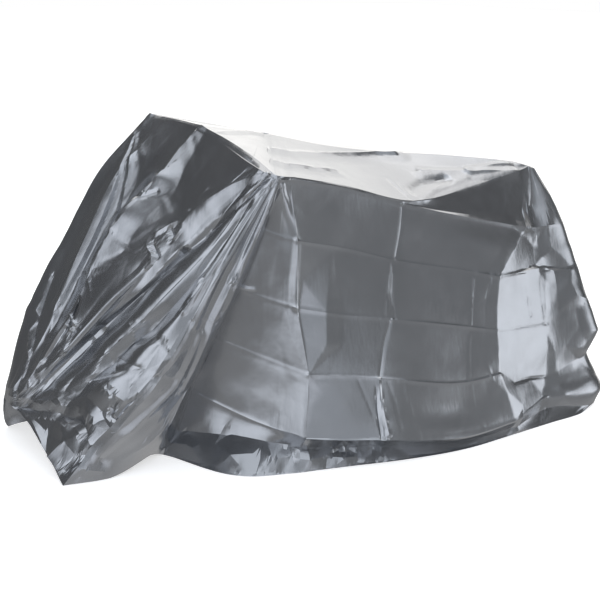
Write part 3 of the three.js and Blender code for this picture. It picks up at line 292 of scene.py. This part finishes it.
# ---- flat pieces of the front, the tail and the hem ---------------------------
# a row for each crease, with its junctions: section, level, rise mm
JUNCTIONS = dict(
    rim_fan=[(12.88, 3.99, 0), (15.43, 4.17, 0), (15.58, 4.64, 0), (15.86, 5.1, 0), (16.16, 5.52, 0), (16.58, 5.89, 0), (16.97, 6.8, 0), (17.38, 7.92, 0)],
    rim_nose=[(13.68, 7.99, 0), (12.66, 7.96, 0), (11.63, 7.81, 0), (11.07, 7.6, 0), (10.47, 7.58, 0)],
    rim_bundle=[(10.44, 6.14, 0), (10.44, 5.44, 0), (11.04, 4.5, 0)],
    rim_corner=[(7.6, 3.18, 0), (6.63, 2.82, 0), (6.14, 3.07, 0), (5.85, 3.95, 0), (5.88, 4.49, 0), (6.58, 5.26, 0), (7.49, 5.17, 0), (7.65, 4.65, 0), (7.46, 4.06, 0)],
    rim_tail_side=[(1.53, 1.1, 0), (3.24, 2.01, 0), (3.46, 3.02, 0), (3.46, 4.05, 0), (3.5, 4.95, 0), (3.49, 5.45, 0), (3.24, 7.9, 0)],
    rim_tail_low=[(2.3, 7.99, 0), (1.41, 7.98, 0)],
    rim_tail_edge=[(1.16, 6.69, 0), (1.06, 5.71, 0), (1.11, 4.83, 0), (1.09, 4, 0), (1.09, 3.52, 0), (1.23, 2.89, 0), (1.13, 2, 0), (1.05, 1.51, 0)],
    rim_foot=[(8.99, 5.99, 0), (8.47, 5.98, 0), (7.97, 6, 0), (7, 5.98, 0), (6, 6, 0), (4.99, 6.15, 0), (4.62, 6.26, 0)],
    front_ridge=[(14.95, 4.64, 6.8), (15.1, 5.11, -1.3), (15.32, 5.5, -15.3), (15.71, 6.01, -6.7)],
    front_hollow=[(13.98, 5.13, 5.7), (13.64, 5.85, 4.3)],
    bib=[(14.29, 4.43, -5.3), (13.72, 4.89, 11.2), (12.69, 5.15, -6.9), (12, 4.91, 6.4), (12.64, 4.68, -4.5), (12.7, 4.51, 3.3)],
    gather=[(13.4, 5.36, 0.2), (14.17, 5.6, 14.9), (14.83, 5.95, -3.8), (15.83, 6.86, 5.4)],
    bright_piece=[(12.96, 5.61, 18.3), (13.15, 5.36, 14.5), (12.5, 5.19, -9.2), (12.58, 5.37, -8)],
    pinch=[(12.02, 5.49, 0.4), (12.62, 5.7, 1.8), (12.49, 5.86, -10.6), (12.27, 5.63, -3.9), (11.99, 6.01, -4.7)],
    flap=[(13.26, 6.46, -8.5), (14.19, 6.38, 10.4), (14.66, 7.03, 0.2), (15.45, 7.75, 1.4)],
    nose_tab=[(12.76, 5.92, -12.1), (12.66, 6.28, -3.8), (12.53, 5.98, -14.9)],
    nose=[(14.22, 7.57, -17.3), (13.2, 7.25, 4.6), (13.35, 7.92, 19.6), (12.75, 6.57, 2.3), (12.47, 7.27, -18.7), (12.75, 7.85, -4.4)],
    tip=[(11.98, 6.79, -13.8), (11.76, 7.42, 6)],
    corner_upper=[(6.64, 3.19, -0.1), (6.92, 3.99, -3.2), (6.25, 3.97, 7.3), (6.83, 3.57, -0.8)],
    corner_lower=[(7.28, 4.55, 3.6), (6.33, 4.51, 8), (7, 5, 2.5), (6.91, 4.49, 0.8)],
    tail_top=[(2.17, 1.64, -8.7), (2.75, 2, 6.3), (1.68, 1.99, 10)],
    tail_upper=[(2.17, 2.42, -4.3), (2.18, 2.87, -0.2), (1.73, 2.5, 10), (1.38, 2.92, 1.7)],
    tail_crease_1=[(2.99, 2.98, 3.9), (2.64, 2.99, 2.2), (2.17, 3.03, 10), (1.75, 3.04, -2.6)],
    tail_panel=[(2.99, 3.49, 2.6), (2.52, 3.52, 3.1), (2.15, 3.57, 6), (1.75, 3.47, 1.5), (1.51, 3.2, 10)],
    tail_dent=[(1.44, 3.44, 8.8), (1.46, 3.67, -7.2), (1.77, 3.73, -3.8)],
    tail_crease_2=[(2.98, 4.02, 2.4), (2.52, 4.05, 4.7), (2.08, 3.99, 3.3), (1.8, 3.95, -3.5), (1.48, 3.98, -10)],
    tail_lower=[(3, 4.48, 2.2), (2, 4.54, 0.6), (1.87, 4.56, 3.7), (1.67, 4.47, -1.1), (1.37, 4.94, -6.4)],
    tail_crease_3=[(3.05, 4.89, 0.6), (2.77, 5.17, -3.4), (2.38, 5.05, -5.2), (2.02, 5.04, -6.5), (1.81, 5.06, 0.2)],
    tail_skirt=[(3.17, 5.2, 2.7), (2.1, 5.78, -9.2), (2.73, 5.79, 1.5), (2.99, 7.57, 10), (1.77, 6.05, 8.8), (1.46, 7.53, 2.2)],
    rim_hem=[(9.6, 7.99, 0), (8.78, 7.99, 0), (8.43, 7.99, 0), (7.9, 7.99, 0), (7.4, 7.99, 0), (6.9, 7.99, 0), (6.4, 7.99, 0), (5.9, 7.99, 0), (5.29, 7.99, 0), (4.65, 7.99, 0)],
    tuck_line=[(9.1, 7, 0), (8.4, 6.95, -4), (7.9, 7, 2), (7.3, 6.95, -6), (6.6, 7, 0), (6, 6.95, -6), (5.3, 7, 0)],
    hem_ridge=[(9.1, 7.5, 10), (8.75, 7.45, 18), (8.5, 7.3, 6), (8.25, 7.55, 20), (7.9, 7.3, 8), (7.6, 7.55, 20), (7.2, 7.35, 7), (6.8, 7.5, 18), (6.4, 7.35, 8), (6, 7.5, 16), (5.55, 7.4, 7), (5.1, 7.5, 12)],
)
FLAT_RIGHT, FLAT_UP = (.924, -.383, 0), (.084, .203, .976)   # laid out as seen from the front corner
FLAT_LAST, FLAT_FIRST = 24, 29.5                               # the hidden side between these has none
FOLD_REACH = 2.6              # sections on each side that a fold can touch
FOLD_STEP = 5                 # samples along each leg of a fold line
SNAP = 0.42                   # how far a grid point may slide onto a fold line, in cells
SNAP_SHARP = 0.55             # folds at least this sharp take grid points
CRISP_ANGLE = 13              # edges that turn more than this are shaded crisp, degrees

names = [row[0] for row in SECTIONS]
points = np.array([row[3:] for row in SECTIONS], float) * MM      # section, level, xyz
crisp = np.array([row[1] for row in SECTIONS], bool)
N = len(SECTIONS)


def cubic(p0, p1, m0, m1, k):
    k2, k3 = k * k, k * k * k
    return (2 * k3 - 3 * k2 + 1) * p0 + (k3 - 2 * k2 + k) * m0 + (3 * k2 - 2 * k3) * p1 + (k3 - k2) * m1


def sections_at(s):
    """Level points of the sections at positions s around the cover."""
    i = np.floor(s).astype(int)
    k = (s - i)[:, None, None]
    gap = np.linalg.norm(np.roll(points, -1, 0) - points, axis=2)[..., None] + 1e-4
    at = lambda o: points[(i + o) % N]
    d = lambda o: gap[(i + o) % N]
    def slope(o, after):
        before = (at(o) - at(o - 1)) / d(o - 1)
        ahead = (at(o + 1) - at(o)) / d(o)
        blend = (before * d(o) + ahead * d(o - 1)) / (d(o) + d(o - 1))
        return np.where(crisp[(i + o) % N][:, None, None], ahead if after else before, blend)
    return cubic(at(0), at(1), slope(0, True) * d(0), slope(1, False) * d(0), k)


firm = np.array([FIRM.get(n, 0) for n in names], float)


def firm_at(s):
    i = np.floor(s).astype(int)
    return firm[i % N] + (firm[(i + 1) % N] - firm[i % N]) * (s - i)


def levels_at(sec, t, hold):
    """Points at levels t down each section in sec, broken at the creases by hold."""
    gap = np.linalg.norm(sec[:, 1:] - sec[:, :-1], axis=2)[..., None] + 1e-6
    leg = (sec[:, 1:] - sec[:, :-1]) / gap
    into, out = np.empty_like(sec), np.empty_like(sec)
    into[:, 0], out[:, 0], into[:, -1], out[:, -1] = leg[:, 0], leg[:, 0], leg[:, -1], leg[:, -1]
    blend = (leg[:, :-1] * gap[:, 1:] + leg[:, 1:] * gap[:, :-1]) / (gap[:, 1:] + gap[:, :-1])
    for l in range(1, sec.shape[1] - 1):
        w = np.maximum(CRISP_LEVEL[l], hold)[:, None]
        into[:, l] = w * leg[:, l - 1] + (1 - w) * blend[:, l - 1]
        out[:, l] = w * leg[:, l] + (1 - w) * blend[:, l - 1]
    t = np.asarray(t, float)
    j = np.minimum(np.floor(t).astype(int), sec.shape[1] - 2)
    k = (t - j)[None, :, None]
    return cubic(sec[:, j], sec[:, j + 1], out[:, j] * gap[:, j], into[:, j + 1] * gap[:, j], k)


def film_points(s, t):
    """Points at matched lists of section s and level t."""
    s = np.asarray(s, float)
    sec, hold = sections_at(s), firm_at(s)
    return np.array([levels_at(sec[n:n + 1], [t[n]], hold[n:n + 1])[0, 0] for n in range(len(t))])


# ---- the plain drape as a grid ---------------------------------------------
cols = np.concatenate([i + np.arange(FINE[n]) / FINE[n] for i, n in enumerate(names)])
rows = []
for level, count in enumerate(ROWS_PER_LEVEL):
    k = np.arange(count) / count
    rows += list(level + k - 0.4 * np.sin(2 * np.pi * k) / (2 * np.pi))
rows = np.array(rows + [8.0])
C, R = len(cols), len(rows)
drape = levels_at(sections_at(cols), rows, firm_at(cols))                        # column, row, xyz
S, T = np.broadcast_to(cols[:, None], (C, R)), np.broadcast_to(rows[None, :], (C, R))

around = np.roll(drape, -1, 0) - np.roll(drape, 1, 0)
down = np.gradient(drape, axis=1)
outward = np.cross(around, down)
outward /= np.linalg.norm(outward, axis=2, keepdims=True) + 1e-12

# metres of film in one section, to calm the crumpling where sections crowd together
fine_step = np.roll(cols, -1) - np.roll(cols, 1)
fine_step[fine_step < 0] += N
width = np.linalg.norm(around, axis=2) / fine_step[:, None]
room = np.clip((width - 0.004) / 0.06, 0, 1)
arc = np.concatenate([np.zeros((C, 1)), np.cumsum(np.linalg.norm(np.diff(drape, axis=1), axis=2), axis=1)], axis=1)

# ---- flat pieces: triangles between the junctions ----------------------------
def flat_pieces(q):
    """Triangles between points in the plane, each with an empty circle around it."""
    m, r = q.mean(0), 20 * np.ptp(q)
    p = np.vstack([q, m + [[-r, -r], [r, -r], [0, r]]])
    tris = [(len(q), len(q) + 1, len(q) + 2)]
    for n in range(len(q)):
        hit = []
        for a, b, c in tris:
            d = p[[a, b, c]] - p[n]
            w = (d ** 2).sum(1)
            if d[0, 0] * (d[1, 1] * w[2] - w[1] * d[2, 1]) - d[0, 1] * (d[1, 0] * w[2] - w[1] * d[2, 0]) + w[0] * (d[1, 0] * d[2, 1] - d[1, 1] * d[2, 0]) > 0:
                hit.append((a, b, c))
        rim = [e for a, b, c in hit for e in ((a, b), (b, c), (c, a))]
        tris = [x for x in tris if x not in hit] + [(a, b, n) for a, b in rim if (b, a) not in rim]
    return [x for x in tris if max(x) < len(q)]


def laid_out(p):
    return np.stack([p @ np.array(FLAT_RIGHT), p @ np.array(FLAT_UP)], -1)


junctions = [j for row in JUNCTIONS.values() for j in row]
corner = laid_out(film_points([j[0] for j in junctions], [j[1] for j in junctions]))
pieces = flat_pieces(corner)
piece_edges = sorted({tuple(sorted(e)) for a, b, c in pieces for e in ((a, b), (b, c), (c, a))})

# ---- slide grid points onto the crisp fold lines -----------------------------
slide_i, slide_j, slide = np.zeros((C, R), int), np.zeros((C, R), int), np.zeros((C, R))
taken = np.zeros((C, R), bool)
split_down = np.zeros((C, R), bool)        # quads split from (i, j) to (i + 1, j + 1)
split_up = np.zeros((C, R), bool)          # quads split from (i + 1, j) to (i, j + 1)
wide_cols = np.concatenate([cols - N, cols, cols + N])
crease_lines = sorted(FOLDS, key=lambda row: -max(abs(v) for v in row[5:8]))
crease_lines += [('edge', [junctions[a][:2], junctions[b][:2]], 0, 0, 0, 0, 0, 0, 1) for a, b in piece_edges
                 if (junctions[a][2] or junctions[b][2]) and abs(junctions[a][0] - junctions[b][0]) < 5]
for row in crease_lines:
    if row[8] < SNAP_SHARP or SNAP == 0:
        continue
    line = np.array(row[1], float)
    u = np.interp(line[:, 0], wide_cols, np.arange(3 * C) - C)
    v = np.interp(line[:, 1], rows, np.arange(R))
    path = []
    for k in range(len(line) - 1):
        du, dv = u[k + 1] - u[k], v[k + 1] - v[k]
        if abs(du) >= abs(dv):
            steps = range(math.ceil(u[k]), math.floor(u[k + 1]) + 1) if du > 0 else range(math.floor(u[k]), math.ceil(u[k + 1]) - 1, -1)
            path += [(i, v[k] + dv * (i - u[k]) / du if du else v[k]) for i in steps]
        else:
            steps = range(math.ceil(v[k]), math.floor(v[k + 1]) + 1) if dv > 0 else range(math.floor(v[k]), math.ceil(v[k + 1]) - 1, -1)
            path += [(u[k] + du * (j - v[k]) / dv, j) for j in steps]
    before = None
    for x, y in path:
        i, j = round(x), round(y)
        dx, dy = x - i, y - j
        ii = i % C
        if 0 < j < R - 1 and not taken[ii, j]:
            taken[ii, j] = True
            slide_i[ii, j], slide_j[ii, j] = int(np.sign(dx)), int(np.sign(dy))
            slide[ii, j] = min(abs(dx) + abs(dy), SNAP)
        if before and abs(i - before[0]) == 1 and abs(j - before[1]) == 1:
            qi, qj = min(i, before[0]) % C, min(j, before[1])
            if 0 <= qj < R - 1:
                if (i - before[0]) * (j - before[1]) > 0:
                    split_down[qi, qj] = not split_up[qi, qj]
                else:
                    split_up[qi, qj] = not split_down[qi, qj]
        before = (i, j)
I, J = np.meshgrid(np.arange(C), np.arange(R), indexing='ij')


def slid(field):
    """A grid field after its points have slid along the grid lines."""
    other = field[(I + slide_i) % C, np.clip(J + slide_j, 0, R - 1)]
    amount = slide[..., None] if field.ndim == 3 else slide
    return field + (other - field) * amount


plain = drape
drape = slid(drape)
outward = slid(outward)
outward /= np.linalg.norm(outward, axis=2, keepdims=True) + 1e-12

# ---- crumpling: flat facets at several sizes, and soft waves ---------------
def mix_bits(i, seed):
    h = (i[..., 0] * 374761393 + i[..., 1] * 668265263 + i[..., 2] * 2147483647 + seed * 1274126177) & 0xffffffff
    h = ((h ^ (h >> 13)) * 1274126177) & 0xffffffff
    h = ((h ^ (h >> 16)) * 2246822519) & 0xffffffff
    return ((h ^ (h >> 15)) & 0xffffff) / float(0xffffff) * 2 - 1


def facet_noise(p, cell, seed):
    """Piecewise flat noise: linear on the tetrahedra of a cubic lattice."""
    turn = np.array([[.80, -.36, .48], [.60, .48, -.64], [0, .80, .60]])
    q = p @ turn.T / cell + seed * 3.7
    i = np.floor(q).astype(np.int64)
    f = q - i
    order = np.argsort(-f, axis=-1)
    fs = np.take_along_axis(f, order, -1)
    corner, value = i.copy(), mix_bits(i, seed) * (1 - fs[..., 0])
    for n in range(3):
        step = np.zeros_like(i)
        np.put_along_axis(step, order[..., n:n + 1], 1, -1)
        corner = corner + step
        weight = fs[..., n] - fs[..., n + 1] if n < 2 else fs[..., 2]
        value = value + mix_bits(corner, seed) * weight
    return value


def soft_noise(p, cell, seed):
    q = p / cell + seed * 5.3
    i = np.floor(q).astype(np.int64)
    f = q - i
    f = f * f * (3 - 2 * f)
    value = 0
    for a in (0, 1):
        for b in (0, 1):
            for c in (0, 1):
                w = (f[..., 0] if a else 1 - f[..., 0]) * (f[..., 1] if b else 1 - f[..., 1]) * (f[..., 2] if c else 1 - f[..., 2])
                value = value + w * mix_bits(i + np.array([a, b, c]), seed)
    return value


crumple = np.interp(cols, np.arange(N + 1), [CRUMPLE[n] for n in names] + [CRUMPLE[names[0]]])[:, None] \
    * np.interp(rows, np.arange(9), CRUMPLE_LEVEL)[None, :] * room
warp = np.stack([soft_noise(drape, 0.21, 11 + n) for n in range(3)], -1) * 0.045
lift = np.zeros((C, R))
lift += crumple * (0.011 * facet_noise(drape + warp, 0.16, 1)
                   + 0.0032 * facet_noise(drape + warp, 0.08, 2)
                   + 0.0008 * facet_noise(drape + warp, 0.04, 3))
lift += room * 0.005 * soft_noise(drape, 0.33, 4) * np.interp(rows, [0, 1, 2, 3, 6, 7, 8], [.3, .2, .2, 1, 1, .5, .3])[None, :]

# ---- packing creases -------------------------------------------------------
far = np.clip(np.minimum(cols - 22.8, 30.8 - cols) / 0.8, 0, 1)
lift += 0.8 * far[:, None] * np.interp(rows, np.arange(9), PILLOW)[None, :] * MM * np.minimum(room * 2, 1)
for level, first, last, half, rise in LEVEL_CREASES:
    row = int(np.argmin(np.abs(rows - level)))
    away = np.abs(arc - arc[:, row:row + 1]) / (half * MM)
    ends = np.clip(np.minimum(cols - first, last - cols) / 0.5, 0, 1)
    lift += rise * MM * ends[:, None] * np.clip(1 - away, 0, 1) * room

# ---- stand-off -------------------------------------------------------------
def blend_weights(x, knots, ring=0):
    """Smooth weights of the knots at positions x (ring: the length of a closed round)."""
    k = np.asarray(knots, float)
    n = len(k)
    w = np.zeros((len(x), n))
    at = np.clip(np.searchsorted(k, x, side='right') - 1, 0, n - 1 if ring else n - 2)
    end = np.append(k[1:], ring) if ring else k[1:]
    f = np.clip((x - k[at]) / (end[at] - k[at]), 0, 1)
    part = [-.5 * f + f ** 2 - .5 * f ** 3, 1 - 2.5 * f ** 2 + 1.5 * f ** 3,
            .5 * f + 2 * f ** 2 - 1.5 * f ** 3, -.5 * f ** 2 + .5 * f ** 3]
    for o in range(4):
        i = at + o - 1
        i = i % n if ring else np.clip(i, 0, n - 1)
        np.add.at(w, (np.arange(len(x)), i), part[o])
    return w


calm = np.clip((width - 0.012) / 0.05, 0, 1)
around_w = blend_weights(cols, np.arange(N), N)
down_w = blend_weights(rows, STANDOFF_LEVELS)
standoff = np.array([STANDOFF[n] for n in names], float) * MM
lift += slid(calm * (around_w @ standoff @ down_w.T))


# ---- folds -----------------------------------------------------------------
def crease(line, half0, half1, lean, sharp):
    """Grid points a fold line reaches, its profile there and the position along it."""
    line = np.array(line, float)
    legs = len(line) - 1
    u = np.linspace(0, legs, legs * FOLD_STEP + 1)
    s, t = np.interp(u, np.arange(legs + 1), line[:, 0]), np.interp(u, np.arange(legs + 1), line[:, 1])
    q = film_points(s, t)
    k = u / legs
    half = (half0 + (half1 - half0) * k) * MM
    reach = half.max() * (1 + abs(lean))
    lo, hi = q.min(0) - reach, q.max(0) + reach
    inside = np.all((drape > lo) & (drape < hi), axis=2)
    gap = np.abs(S - np.clip(S, s.min(), s.max()))
    inside &= np.minimum(gap, N - gap) < FOLD_REACH
    p, n = drape[inside], outward[inside]
    best, along = np.full(len(p), 1.0), np.zeros(len(p))
    for a in range(len(q) - 1):
        leg = q[a + 1] - q[a]
        m = np.clip((p - q[a]) @ leg / (leg @ leg + 1e-12), 0, 1)
        off = p - q[a] - m[:, None] * leg
        left = np.sign(np.einsum('ij,ij->i', np.cross(n, leg), off))
        ratio = np.linalg.norm(off, axis=1) / ((half[a] + (half[a + 1] - half[a]) * m) * (1 + lean * left))
        nearer = ratio < best
        best = np.where(nearer, ratio, best)
        along = np.where(nearer, k[a] + (k[a + 1] - k[a]) * m, along)
    profile = sharp * (1 - best) + (1 - sharp) * (1 - best) ** 2 * (1 + 2 * best)
    return inside, profile, along


for name, line, half0, half1, lean, rise0, rise_mid, rise1, sharp in FOLDS:
    inside, profile, along = crease(line, half0, half1, lean, sharp)
    lift[inside] += profile * np.interp(along, [0, .5, 1], [rise0, rise_mid, rise1]) * MM

toward = np.cross(FLAT_RIGHT, FLAT_UP)
place = laid_out(drape)
free = ((S > FLAT_FIRST) | (S < FLAT_LAST)) & (outward @ toward > 0.03)
piece_corner, piece_weight = np.full((C, R, 3), -1), np.zeros((C, R, 3))
for a, b, c in pieces:
    e1, e2 = corner[b] - corner[a], corner[c] - corner[a]
    area = e1[0] * e2[1] - e1[1] * e2[0]
    if abs(area) < 1e-7:
        continue
    off = place - corner[a]
    wb = (off[..., 0] * e2[1] - off[..., 1] * e2[0]) / area
    wc = (off[..., 1] * e1[0] - off[..., 0] * e1[1]) / area
    inside = free & (wb >= 0) & (wc >= 0) & (wb + wc <= 1)
    piece_corner[inside] = (a, b, c)
    piece_weight[inside] = np.stack([1 - wb - wc, wb, wc], -1)[inside]
    free &= ~inside
junction_rise = np.array([j[2] for j in junctions] + [0], float) * MM
lift += (junction_rise[piece_corner] * piece_weight).sum(-1)

film = drape + outward * lift[..., None]
film[..., 2] = np.maximum(film[..., 2], HEM_CLEARANCE)

# ---- mesh: skirt, roof inside the ridge ring, and a last strip along it -----
ring = film[:, 0]
front = int(np.argmin(np.abs(cols - names.index('front_hollow'))))
spine = np.zeros_like(ring)
spine[:, 0] = np.clip(ring[:, 0], ring[:, 0].min() + 0.03, ring[:, 0].max() - 0.03)
for side in (ring[:front + 1], np.concatenate([ring[front:], ring[:1]])):
    side = side[np.argsort(side[:, 0])]
    for k in (1, 2):
        spine[:, k] += 0.5 * np.interp(spine[:, 0], side[:, 0], side[:, k])
inner = np.stack([spine + (ring - spine) * f for f in RIDGE_ROWS], axis=1)
grid = np.concatenate([inner, film], axis=1)
RG = grid.shape[1]
vertex = lambda i, j: (i % C) * RG + j
faces = []
for i in range(C):
    for j in range(RG - 1):
        p, q, r, s = vertex(i, j), vertex(i + 1, j), vertex(i + 1, j + 1), vertex(i, j + 1)
        g = j - len(RIDGE_ROWS)
        if g >= 0 and split_down[i, g]:
            down_cut = True
        elif g >= 0 and split_up[i, g]:
            down_cut = False
        else:
            down_cut = (i + j) % 2 == 0
        faces += [(p, q, r), (p, r, s)] if down_cut else [(p, q, s), (q, r, s)]
chain_a = list(range(front + 1))
chain_b = [0] + list(range(C - 1, front - 1, -1))
a = b = 0
while a < len(chain_a) - 1 or b < len(chain_b) - 1:
    A, B = chain_a[a], chain_b[b]
    xa = grid[chain_a[a + 1], 0, 0] if a < len(chain_a) - 1 else -9
    xb = grid[chain_b[b + 1], 0, 0] if b < len(chain_b) - 1 else -9
    if xa >= xb:
        tri = (A, B, chain_a[a + 1])
        a += 1
    else:
        tri = (A, B, chain_b[b + 1])
        b += 1
    if len(set(tri)) == 3:
        faces.append(tuple(vertex(i, 0) for i in tri))

mesh = bpy.data.meshes.new('film_cover')
mesh.from_pydata(grid.reshape(-1, 3).tolist(), [], faces)
mesh.update()
cover = bpy.data.objects.new('film_cover', mesh)
bpy.context.collection.objects.link(cover)
mesh.polygons.foreach_set('use_smooth', [True] * len(mesh.polygons))
mesh.set_sharp_from_angle(angle=math.radians(CRISP_ANGLE))

# ---- material --------------------------------------------------------------
film_mat = bpy.data.materials.new('silver_film')
film_mat.use_nodes = True
nodes, links = film_mat.node_tree.nodes, film_mat.node_tree.links
shader = nodes['Principled BSDF']
shader.inputs['Metallic'].default_value = 0.86
shader.inputs['IOR'].default_value = 1.5
shader.inputs['Coat Weight'].default_value = 0.25
shader.inputs['Coat Roughness'].default_value = 0.12
coords = nodes.new('ShaderNodeTexCoord')


def add(kind, **inputs):
    node = nodes.new(kind)
    for key, value in inputs.items():
        node.inputs[key.replace('_', ' ')].default_value = value
    return node


blotch = add('ShaderNodeTexNoise', Scale=2.6, Detail=4.0, Roughness=0.55)
grain = add('ShaderNodeTexNoise', Scale=500.0, Detail=2.0, Roughness=0.6)
wrinkle = add('ShaderNodeTexNoise', Scale=18.0, Detail=2.0, Roughness=0.45)
streak = add('ShaderNodeTexNoise', Scale=1.0, Detail=2.0, Roughness=0.5)
stretch = nodes.new('ShaderNodeMapping')
stretch.inputs['Scale'].default_value = (95, 95, 5)
links.new(coords.outputs['Object'], stretch.inputs['Vector'])
links.new(stretch.outputs['Vector'], streak.inputs['Vector'])
for n in (blotch, grain, wrinkle):
    links.new(coords.outputs['Object'], n.inputs['Vector'])
tone = nodes.new('ShaderNodeValToRGB')
tone.color_ramp.elements[0].position, tone.color_ramp.elements[1].position = 0.3, 0.7
tone.color_ramp.elements[0].color = (0.36, 0.37, 0.39, 1)
tone.color_ramp.elements[1].color = (0.42, 0.43, 0.45, 1)
links.new(blotch.outputs['Fac'], tone.inputs['Fac'])
links.new(tone.outputs['Color'], shader.inputs['Base Color'])
rough = nodes.new('ShaderNodeMapRange')
rough.inputs['To Min'].default_value, rough.inputs['To Max'].default_value = 0.17, 0.27
links.new(wrinkle.outputs['Fac'], rough.inputs['Value'])
links.new(rough.outputs['Result'], shader.inputs['Roughness'])
bump1 = add('ShaderNodeBump', Strength=0.2, Distance=0.004)
links.new(wrinkle.outputs['Fac'], bump1.inputs['Height'])
bump2 = add('ShaderNodeBump', Strength=0.05, Distance=0.0003)
links.new(grain.outputs['Fac'], bump2.inputs['Height'])
bump3 = add('ShaderNodeBump', Strength=0.2, Distance=0.0012)
links.new(streak.outputs['Fac'], bump3.inputs['Height'])
links.new(bump1.outputs['Normal'], bump3.inputs['Normal'])
links.new(bump3.outputs['Normal'], bump2.inputs['Normal'])
links.new(bump2.outputs['Normal'], shader.inputs['Normal'])
mesh.materials.append(film_mat)

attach(cover, 'root')
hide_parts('cover')

# ---- floor, light and camera -----------------------------------------------
floor_mesh = bpy.data.meshes.new('floor')
floor_mesh.from_pydata([(-30, -30, 0), (30, -30, 0), (30, 60, 0), (-30, 60, 0)], [], [(0, 1, 2, 3)])
floor = bpy.data.objects.new('floor', floor_mesh)
bpy.context.collection.objects.link(floor)
floor_mat = bpy.data.materials.new('pale_floor')
floor_mat.use_nodes = True
pale = floor_mat.node_tree.nodes['Principled BSDF']
pale.inputs['Base Color'].default_value = (0.86, 0.86, 0.86, 1)
pale.inputs['Roughness'].default_value = 0.9
pale.inputs['Emission Color'].default_value = (1, 1, 1, 1)
pale.inputs['Emission Strength'].default_value = 0.62
floor_mesh.materials.append(floor_mat)
floor.visible_glossy = floor.visible_diffuse = False


# studio surroundings: soft bright and dark areas, by direction
# azimuth and elevation in degrees, full within, gone beyond, radiance (r, g, b)
SURROUND = [
    (57, 22, 30, 40, (1.5, 1.47, 1.42)),
    (14, 60, 10, 20, (1.65, 1.62, 1.58)),
    (-14, 0, 7, 18, (1.44, 1.5, 1.58)),
    (-93, 10, 12, 41, (.45, .48, .52)),
    (-152, 16, 8, 36, (1.35, 1.42, 1.53)),
    (150, 62, 6, 26, (1.24, 1.3, 1.38)),
    (-80, 66, 18, 46, (1.04, 1.1, 1.18)),
    (-80, -18, 8, 25, (.48, .5, .55)),
    (-42, 8, 18, 36, (.155, .16, .165)),
]
BASE_UP, BASE_LEVEL, BASE_DOWN = .05, .10, .72


def aim(az, el):
    az, el = math.radians(az), math.radians(el)
    return Vector((math.cos(az) * math.cos(el), math.sin(az) * math.cos(el), math.sin(el)))


world = bpy.data.worlds.new('studio')
bpy.context.scene.world = world
world.use_nodes = True
wn, wl = world.node_tree.nodes, world.node_tree.links
wn.clear()
direction = wn.new('ShaderNodeTexCoord').outputs['Generated']
split = wn.new('ShaderNodeSeparateXYZ')
wl.new(direction, split.inputs[0])
ramp = wn.new('ShaderNodeValToRGB')
ramp.color_ramp.elements[0].color = (BASE_DOWN,) * 3 + (1,)
ramp.color_ramp.elements[1].color = (BASE_UP,) * 3 + (1,)
level = ramp.color_ramp.elements.new(0.5)
level.color = (BASE_LEVEL,) * 3 + (1,)
height = wn.new('ShaderNodeMapRange')
height.inputs['From Min'].default_value, height.inputs['From Max'].default_value = -1, 1
wl.new(split.outputs['Z'], height.inputs['Value'])
wl.new(height.outputs['Result'], ramp.inputs['Fac'])
total = ramp.outputs['Color']
for az, el, full, gone, radiance in SURROUND:
    dot = wn.new('ShaderNodeVectorMath')
    dot.operation = 'DOT_PRODUCT'
    wl.new(direction, dot.inputs[0])
    dot.inputs[1].default_value = aim(az, el)
    fall = wn.new('ShaderNodeMapRange')
    fall.interpolation_type = 'SMOOTHSTEP'
    fall.inputs['From Min'].default_value = math.cos(math.radians(gone))
    fall.inputs['From Max'].default_value = math.cos(math.radians(full))
    wl.new(dot.outputs['Value'], fall.inputs['Value'])
    scale = wn.new('ShaderNodeVectorMath')
    scale.operation = 'SCALE'
    scale.inputs[0].default_value = radiance
    wl.new(fall.outputs['Result'], scale.inputs['Scale'])
    plus = wn.new('ShaderNodeVectorMath')
    plus.operation = 'ADD'
    wl.new(total, plus.inputs[0])
    wl.new(scale.outputs[0], plus.inputs[1])
    total = plus.outputs[0]
lit = wn.new('ShaderNodeBackground')
wl.new(total, lit.inputs['Color'])
white = wn.new('ShaderNodeBackground')
white.inputs['Color'].default_value = (1, 1, 1, 1)
path = wn.new('ShaderNodeLightPath')
both = wn.new('ShaderNodeMixShader')
wl.new(path.outputs['Is Camera Ray'], both.inputs['Fac'])
wl.new(lit.outputs[0], both.inputs[1])
wl.new(white.outputs[0], both.inputs[2])
world_out = wn.new('ShaderNodeOutputWorld')
wl.new(both.outputs[0], world_out.inputs['Surface'])

cam = bpy.data.cameras.new('camera')
cam.lens, cam.sensor_width = 88.26, 36
camera = bpy.data.objects.new('camera', cam)
bpy.context.collection.objects.link(camera)
camera.location = (-2.1112, -4.8678, 1.6770)
look = Vector((-0.267, -0.4155, 0.591)) - camera.location
camera.rotation_euler = look.to_track_quat('-Z', 'Y').to_euler()
bpy.context.scene.camera = camera
bpy.context.scene.view_settings.view_transform = 'Standard'
